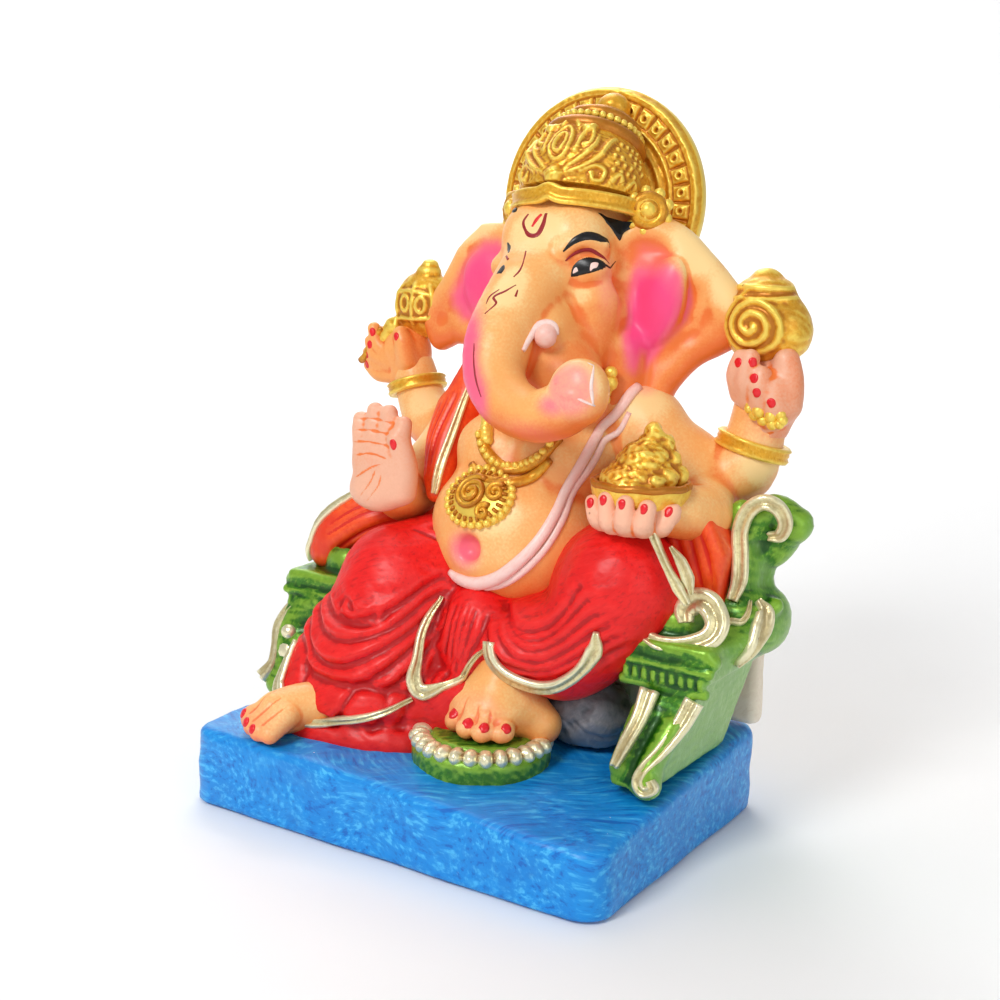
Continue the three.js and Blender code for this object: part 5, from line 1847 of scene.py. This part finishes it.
def makeBangles():
    laid("leftBangle", bangle((67.8, 33.4, 113.0), (0.25, 0.1, 1), (9.6, 9.4), 2.3, 1.5), goldPaint,
         ["left_bangle"])
    laid("rightBangle", bangle((-51.3, 34.6, 120.6), (-0.35, 0.1, 1), (8.6, 8.6), 2.0, 1.4), goldPaint,
         ["right_bangle"])
    ear = [pearl((31.6, 12.5, 129.4), 2.6, 1), pearl((32.4, 12.0, 132.4), 1.9, 2),
           pearl((30.6, 12.2, 126.8), 2.0, 3),
           pearl((31.4, 11.6, 124.6), 1.5, 4)]
    laid("earring", ear, goldPaint)
    beads = []
    for i in range(11):
        a = 2 * math.pi * i / 11
        beads.append(pearl((74.2 + 5.0 * math.cos(a), 25.2, 123.6 - 1.6 * math.cos(a) + 2.4 * math.sin(a)),
                           1.6, i))
    beads += [pearl((72.4, 24.6, 124.0), 2.0, 3), pearl((76.0, 24.8, 122.8), 2.0, 5)]
    laid("handLeaf", beads, goldPaint)


def makeConch():
    clay = Clay((50, 20, 134), (88, 52, 166), 0.42)
    clay.ball((68.6, 35, 147.4), (12.2, 9.5, 11.6), 2)
    clay.ball((68.0, 35.5, 157.2), (8, 7, 4), 2)
    clay.ball((67.6, 36, 160.2), (4.4, 4, 2.9), 1.2)
    clay.ball((75.5, 35, 145.5), (6.5, 7.5, 7.5), 2)
    middle = np.array((67.6, 0, 147.2))

    def work(verts, normals):
        for width, height in ((1.0, 1.1), (0.5, 0.4)):
            spiral = []
            for t in np.linspace(0, 2.6 * 2 * math.pi, 60):
                r = 1.2 + 1.62 * t / 2.4
                spiral.append((middle[0] + r * math.cos(t + 0.6), 24.5,
                               middle[2] - r * math.sin(t + 0.6) * 0.95))
            path = clay.onto(np.array(spiral), 16)
            verts = scored(verts, normals, path, width, height, 0.15)
        for z in (154.6, 158.2):
            ring = [(68 + 9 * math.cos(a), 35 + 8 * math.sin(a), z) for a in np.linspace(math.pi,
                    2 * math.pi, 12)]
            verts = scored(verts, normals, clay.onto(np.array(ring), 10), 0.8, 0.7, 0.2)
        return verts + normals * (0.12 * wobble(verts, 4))[:, None]
    sculpted("conchEmblem", clay, goldPaint, ["conch_emblem"], None, work)


def makeNoose():
    clay = Clay((-70, 22, 132), (-34, 52, 166), 0.42)
    clay.ball((-50.5, 37, 147), (10.8, 7.5, 11), 2)
    clay.ball((-49.4, 37, 157.6), (4.2, 3.8, 2.8), 1.2)
    clay.ball((-49, 37, 160.0), (2.8, 2.6, 1.8), 0.8)
    clay.limb([(-60, 33, 139, 3.6), (-64, 31.5, 134, 2.2)], 2)

    def work(verts, normals):
        lines = [[(-50.5, 28, 156), (-50.5, 28, 148), (-51, 28, 139)], [(-60, 31, 151), (-52, 28, 152),
                (-42, 31, 150)],
                 [(-60.5, 31, 143), (-51, 28, 142), (-41, 31, 143)], [(-57, 30, 155), (-58.6, 30, 147),
                         (-57, 30, 139)],
                 [(-44.5, 30, 155), (-42.8, 30, 147), (-44.5, 30, 139)]]
        for path in lines:
            verts = scored(verts, normals, clay.onto(flowing(path, 5), 16), 0.75, 0.9, 0.3)
        for u, v in ((-54, 147.6), (-47, 147.2)):
            loop = [(u + 2.0 * math.cos(a), 28, v + 2.8 * math.sin(a)) for a in np.linspace(0, 2 * math.pi,
                    12)]
            verts = scored(verts, normals, clay.onto(np.array(loop), 16), 0.7, 0.8, 0)
        return verts + normals * (0.12 * wobble(verts, 4))[:, None]
    sculpted("nooseEmblem", clay, goldPaint, ["noose_emblem"], None, work)
    cord = [(-63, 30.5, 139), (-66.5, 29.8, 134), (-69.4, 30, 129.5), (-72, 31, 127.6)]
    laid("nooseCord", [sweep(flowing(cord, 6), roundSection, 1.2, 1.2, (0, -1, 0))], goldPaint)


def makeBowl():
    profile = flowing([(9.0, 97.5, 0), (12.0, 98.8, 0), (13.2, 101.4, 0), (13.6, 103.6, 0),
                       (13.2, 104.6, 0), (12.2, 104.4, 0),
                       (10, 104.2, 0)], 5)[:, :2]
    verts, faces = turnedShape((51, -2.5), profile, 72)
    rope = [(51 + 12.9 * math.cos(a), -2.5 + 12.9 * math.sin(a), 104.6 + 0.15 * math.sin(9 * a))
            for a in np.linspace(0, 2 * math.pi, 97)]
    laid("sweetBowl", [(verts, faces), sweep(rope, roundSection, 1.1, 1.1)], goldPaint, ["modak_bowl"])
    clay = Clay((36, -18, 100), (68, 14, 126), 0.42)
    clay.limb([(50.5, -3, 104.5, 10.6), (51.5, -2.6, 109, 7.6), (53, -2, 114, 4.4), (54, -1.8, 117.5, 2.8)],
              2.5, smooth=1)
    for x, y, z, r in ((58.5, -3, 107, 3.4), (59.5, 2, 107, 3.2), (57.6, 1, 111.5, 3.0),
                       (56.4, -3, 112.5, 2.6), (56.6, 0, 116, 2.4),
                       (53.6, -2, 119.2, 2.4), (57.5, -7, 105.5, 2.8), (54.5, 2.5, 112.5, 2.8)):
        clay.ball((x, y, z), (r, r, r), 1.0)

    def work(verts, normals):
        return verts + normals * (0.30 * wobble(verts, 2.4) + 0.22 * wobble(verts, 4.5, 2))[:, None]
    sculpted("sweetHeap", clay, goldPaint, ["modak_heap"], None, work)


# Everything painted on the face with a thin brush.
def makeFacePaint(head):
    dark = [stroke(head, [(20.0, 3.6, 165.6), (22.8, 4.8, 168.7), (25.6, 7.2, 170.2), (27.8, 10.6, 169.8),
                          (28.4, 15.6, 167.2)],
                   [0.2, 1.0, 1.45, 1.45, 0.25]),
            stroke(head, [(-0.4, 3.4, 168.0), (1.4, 1.6, 167.0), (3.4, -0.2, 165.8)], [0.3, 0.9, 0.3]),
            patch(head, [(22.1, 5.0, 158.7), (22.0, 5.0, 161.2), (23.2, 6.0, 163.4), (25.2, 7.6, 164.4),
                         (27.2, 9.8, 163.6),
                         (28.5, 11.8, 161.9), (27.2, 9.2, 160.5), (25.2, 7.0, 159.4), (23.4, 6.0, 158.8)],
                         0.14),
            stroke(head, [(28.0, 11.0, 161.8), (28.6, 13.6, 161.4), (28.6, 16.4, 162.2),
                          (28.4, 19.2, 163.4)], [0.4, 0.3, 0.25, 0.1]),
            patch(head, [(4.6, -5.4, 157.8), (4.2, -4.0, 160.4), (5.2, -3.8, 161.6), (6.6, -5.4, 160.4),
                         (6.4, -6.6, 158.2)])]
    laid("brows", dark, blackPaint)
    white = [patch(head, [(22.5, 5.3, 159.4), (22.5, 5.3, 160.8), (23.2, 5.9, 161.6), (23.7, 6.2, 160.0)],
                   0.24),
             patch(head, [(26.4, 7.9, 160.4), (26.4, 8.3, 162.4), (27.5, 9.9, 162.2), (27.3, 9.3, 161.1)],
                   0.24)]
    laid("eyeWhites", white, whitePaint)
    ridges = [stroke(head, line, [0.2, 0.45, 0.55, 0.25], 0.3) for line in tipCreases]
    laid("tipRidges", ridges, whitePaint)
    red = [stroke(head, [(20.6, 4.2, 163.0), (23.0, 6.0, 165.5), (26.0, 8.2, 166.3), (27.9, 11.2, 164.6),
                         (28.6, 13.6, 162.4)],
                  [0.2, 0.5, 0.6, 0.5, 0.2]),
           stroke(head, [(10.4, -1.1, 166.2), (11.6, -3.9, 162.9), (11.8, -6.1, 160.2),
                         (11.0, -7.6, 158.4)], [0.2, 0.3, 0.35, 0.2]),
           stroke(head, [(6.0, 6.4, 176.4), (5.4, 4.8, 173.5), (8.0, 2.6, 171.0), (11.1, 2.7, 170.7),
                         (11.9, 4.7, 173.2),
                         (11.6, 7.0, 176.6)], [0.3, 0.5, 0.7, 0.8, 0.8, 0.5]),
           stroke(head, [(2.6, -1.6, 165.2), (5.4, -3.2, 163.8)], [0.3, 0.4]),
           stroke(head, [(7.4, -20.3, 140.0), (8.6, -22.5, 135.9), (10.8, -24.4, 130.7),
                         (13.4, -25.7, 126.4)], [0.15, 0.3, 0.3, 0.15])]
    # a plain painted flourish down the root of the trunk
    red += [stroke(head, [(12.6, -8.6, 156.0), (10.4, -11.0, 154.2), (8.0, -12.4, 152.4),
                          (9.6, -13.4, 150.4), (7.6, -15.8, 147.8)],
                   [0.15, 0.35, 0.4, 0.35, 0.15]),
            stroke(head, [(8.6, -11.4, 155.2), (6.4, -12.6, 152.8), (6.6, -14.0, 150.6)],
                   [0.15, 0.35, 0.15]),
            stroke(head, [(13.4, -9.0, 154.6), (13.6, -10.4, 152.8)], [0.2, 0.35])]
    laid("redLines", red, maroonPaint)
    laid("browMark", [stroke(head, [(8.6, 4.2, 172.8), (9.2, 5.2, 174.8), (10.2, 6.2, 176.8)],
                             [0.4, 0.7, 0.5], 0.2)],
         nailPaint)
    lock = [patch(head, [(27.0, 13.4, 180.0), (29.7, 16.5, 178.9), (31.6, 18.4, 177.2), (34.0, 22.2, 177.2),
                         (32.8, 21.8, 174.6),
                         (30.6, 20.8, 172.4), (29.0, 20.4, 169.0), (28.6, 17.8, 172.7),
                         (28.6, 15.2, 175.9)], 0.5),
            patch(head, [(-2.4, 11.4, 179.4), (0.2, 9.2, 178), (0.8, 9.0, 176), (-1.6, 10.6, 176.2)], 0.5)]
    laid("hairLocks", lock, blackPaint)


# Camera and light.
view = {
    "target": (4.1, 0.4, 93.7),  # millimetres
    "azimuth": 32.3,
    "elevation": 10.14,
    "roll": 2.0,
    "distance": 406.5,
    "lens": 50.17,
}


def addCamera():
    a, e = math.radians(view["azimuth"]), math.radians(view["elevation"])
    back = Vector((math.sin(a) * math.cos(e), -math.cos(a) * math.cos(e), math.sin(e)))
    right = Vector((math.cos(a), math.sin(a), 0))
    up = back.cross(right)
    c, s = math.cos(math.radians(view["roll"])), math.sin(math.radians(view["roll"]))
    right, up = c * right + s * up, -s * right + c * up
    place = (Vector(view["target"]) + back * view["distance"]) * mm
    camera = bpy.data.objects.new("camera", bpy.data.cameras.new("camera"))
    camera.data.lens = view["lens"]
    camera.data.sensor_width = 36
    camera.data.clip_start = 0.01
    camera.matrix_world = Matrix((
        (right.x, up.x, back.x, place.x),
        (right.y, up.y, back.y, place.y),
        (right.z, up.z, back.z, place.z),
        (0, 0, 0, 1)))
    bpy.context.scene.collection.objects.link(camera)
    bpy.context.scene.camera = camera


def addLamp(name, place, aim, size, power, colour=(1, 1, 1)):
    lamp = bpy.data.lights.new(name, "AREA")
    lamp.shape = "DISK"
    lamp.size = size
    lamp.energy = power
    lamp.color = colour
    holder = bpy.data.objects.new(name, lamp)
    holder.location = place
    holder.rotation_euler = (Vector(aim) - Vector(place)).to_track_quat("-Z", "Y").to_euler()
    bpy.context.scene.collection.objects.link(holder)


studioLook = {"world": 0.40, "key": 6.0, "fill": 1.4, "top": 1.6, "backdrop": 26}


def addStudio():
    addLamp("keyLamp", (-0.05, -0.85, 0.75), (0, 0, 0.1), 0.35, studioLook["key"])
    addLamp("fillLamp", (0.85, -0.45, 0.4), (0, 0, 0.1), 0.6, studioLook["fill"])
    addLamp("topLamp", (-0.3, 0.15, 0.9), (0, 0, 0.1), 0.6, studioLook["top"])
    addLamp("backdropLamp", (-0.9, 1.0, 1.7), (-1.0, 2.2, 0.5), 1.2, studioLook["backdrop"])
    world = bpy.data.worlds.new("studio")
    world.use_nodes = True
    world.node_tree.nodes["Background"].inputs["Color"].default_value = (1, 1, 1, 1)
    world.node_tree.nodes["Background"].inputs["Strength"].default_value = studioLook["world"]
    bpy.context.scene.world = world
    bpy.context.scene.view_settings.view_transform = "Standard"


def addFloor():
    rows, cols, r = [], 24, 3.5
    for y, z in [(-r, 0), (1.2, 0)] + [(1.2 + 0.8 * math.sin(t), 0.8 - 0.8 * math.cos(t))
                                       for t in np.linspace(0.1, math.pi / 2, 10)] + [(2.0, 4)]:
        rows.append([(x, y, z - 0.0002) for x in np.linspace(-r, r, cols)])
    points = [p for row in rows for p in row]
    faces = [(i * cols + j, i * cols + j + 1, (i + 1) * cols + j + 1, (i + 1) * cols + j)
             for i in range(len(rows) - 1) for j in range(cols - 1)]
    mesh = bpy.data.meshes.new("floor")
    mesh.from_pydata(points, [], faces)
    mesh.polygons.foreach_set("use_smooth", [True] * len(faces))
    floor = bpy.data.objects.new("floor", mesh)
    floor.rotation_euler.z = math.radians(view["azimuth"])  # the sweep stands behind the object
    bpy.context.scene.collection.objects.link(floor)
    mat = bpy.data.materials.new("paleFloor")
    mat.use_nodes = True
    shader = mat.node_tree.nodes["Principled BSDF"]
    shader.inputs["Base Color"].default_value = (0.93, 0.93, 0.93, 1)
    shader.inputs["Roughness"].default_value = 0.85
    shader.inputs["Specular IOR Level"].default_value = 0.1
    mesh.materials.append(mat)


print("base")
makePlinth()
makeStool()
makeStone()
print("throne")
makeThroneCore()
for side in (1, -1):
    makeThroneSide(side)
print("head")
head = sculptHead()
sculpted("headWithTrunk", head, skinPaint, ["head", "trunk", "left_ear", "right_ear", "left_ear_web",
                                            "right_ear_web"], headMarks, carveHead)
makeTusk(head)
makeFacePaint(head)
print("torso")
torso = sculptTorso()
sculpted("torso", torso, skinPaint, ["belly", "chest", "right_rear_upper_arm", "left_rear_upper_arm"],
         torsoMarks, carveTorso)
print("cloth")
drape = sculptDrape()
sculpted("drape", drape, redPaint, ["right_leg_drape", "left_leg_drape", "centre_pleats"], None,
         carveDrape(drape))
makeHems(drape)
makeShawls()
makeSash()
print("hands and feet")
makePalm()
makeBowlHand()
makeRearHands()
makeFeet()
print("crown and halo")
makeCrown()
makeCrownTiers()
makeHalo()
makeRosettes()
print("jewels")
makeJewels(torso)
makeBangles()
makeConch()
makeNoose()
makeBowl()
print("studio")
addCamera()
addStudio()
addFloor()
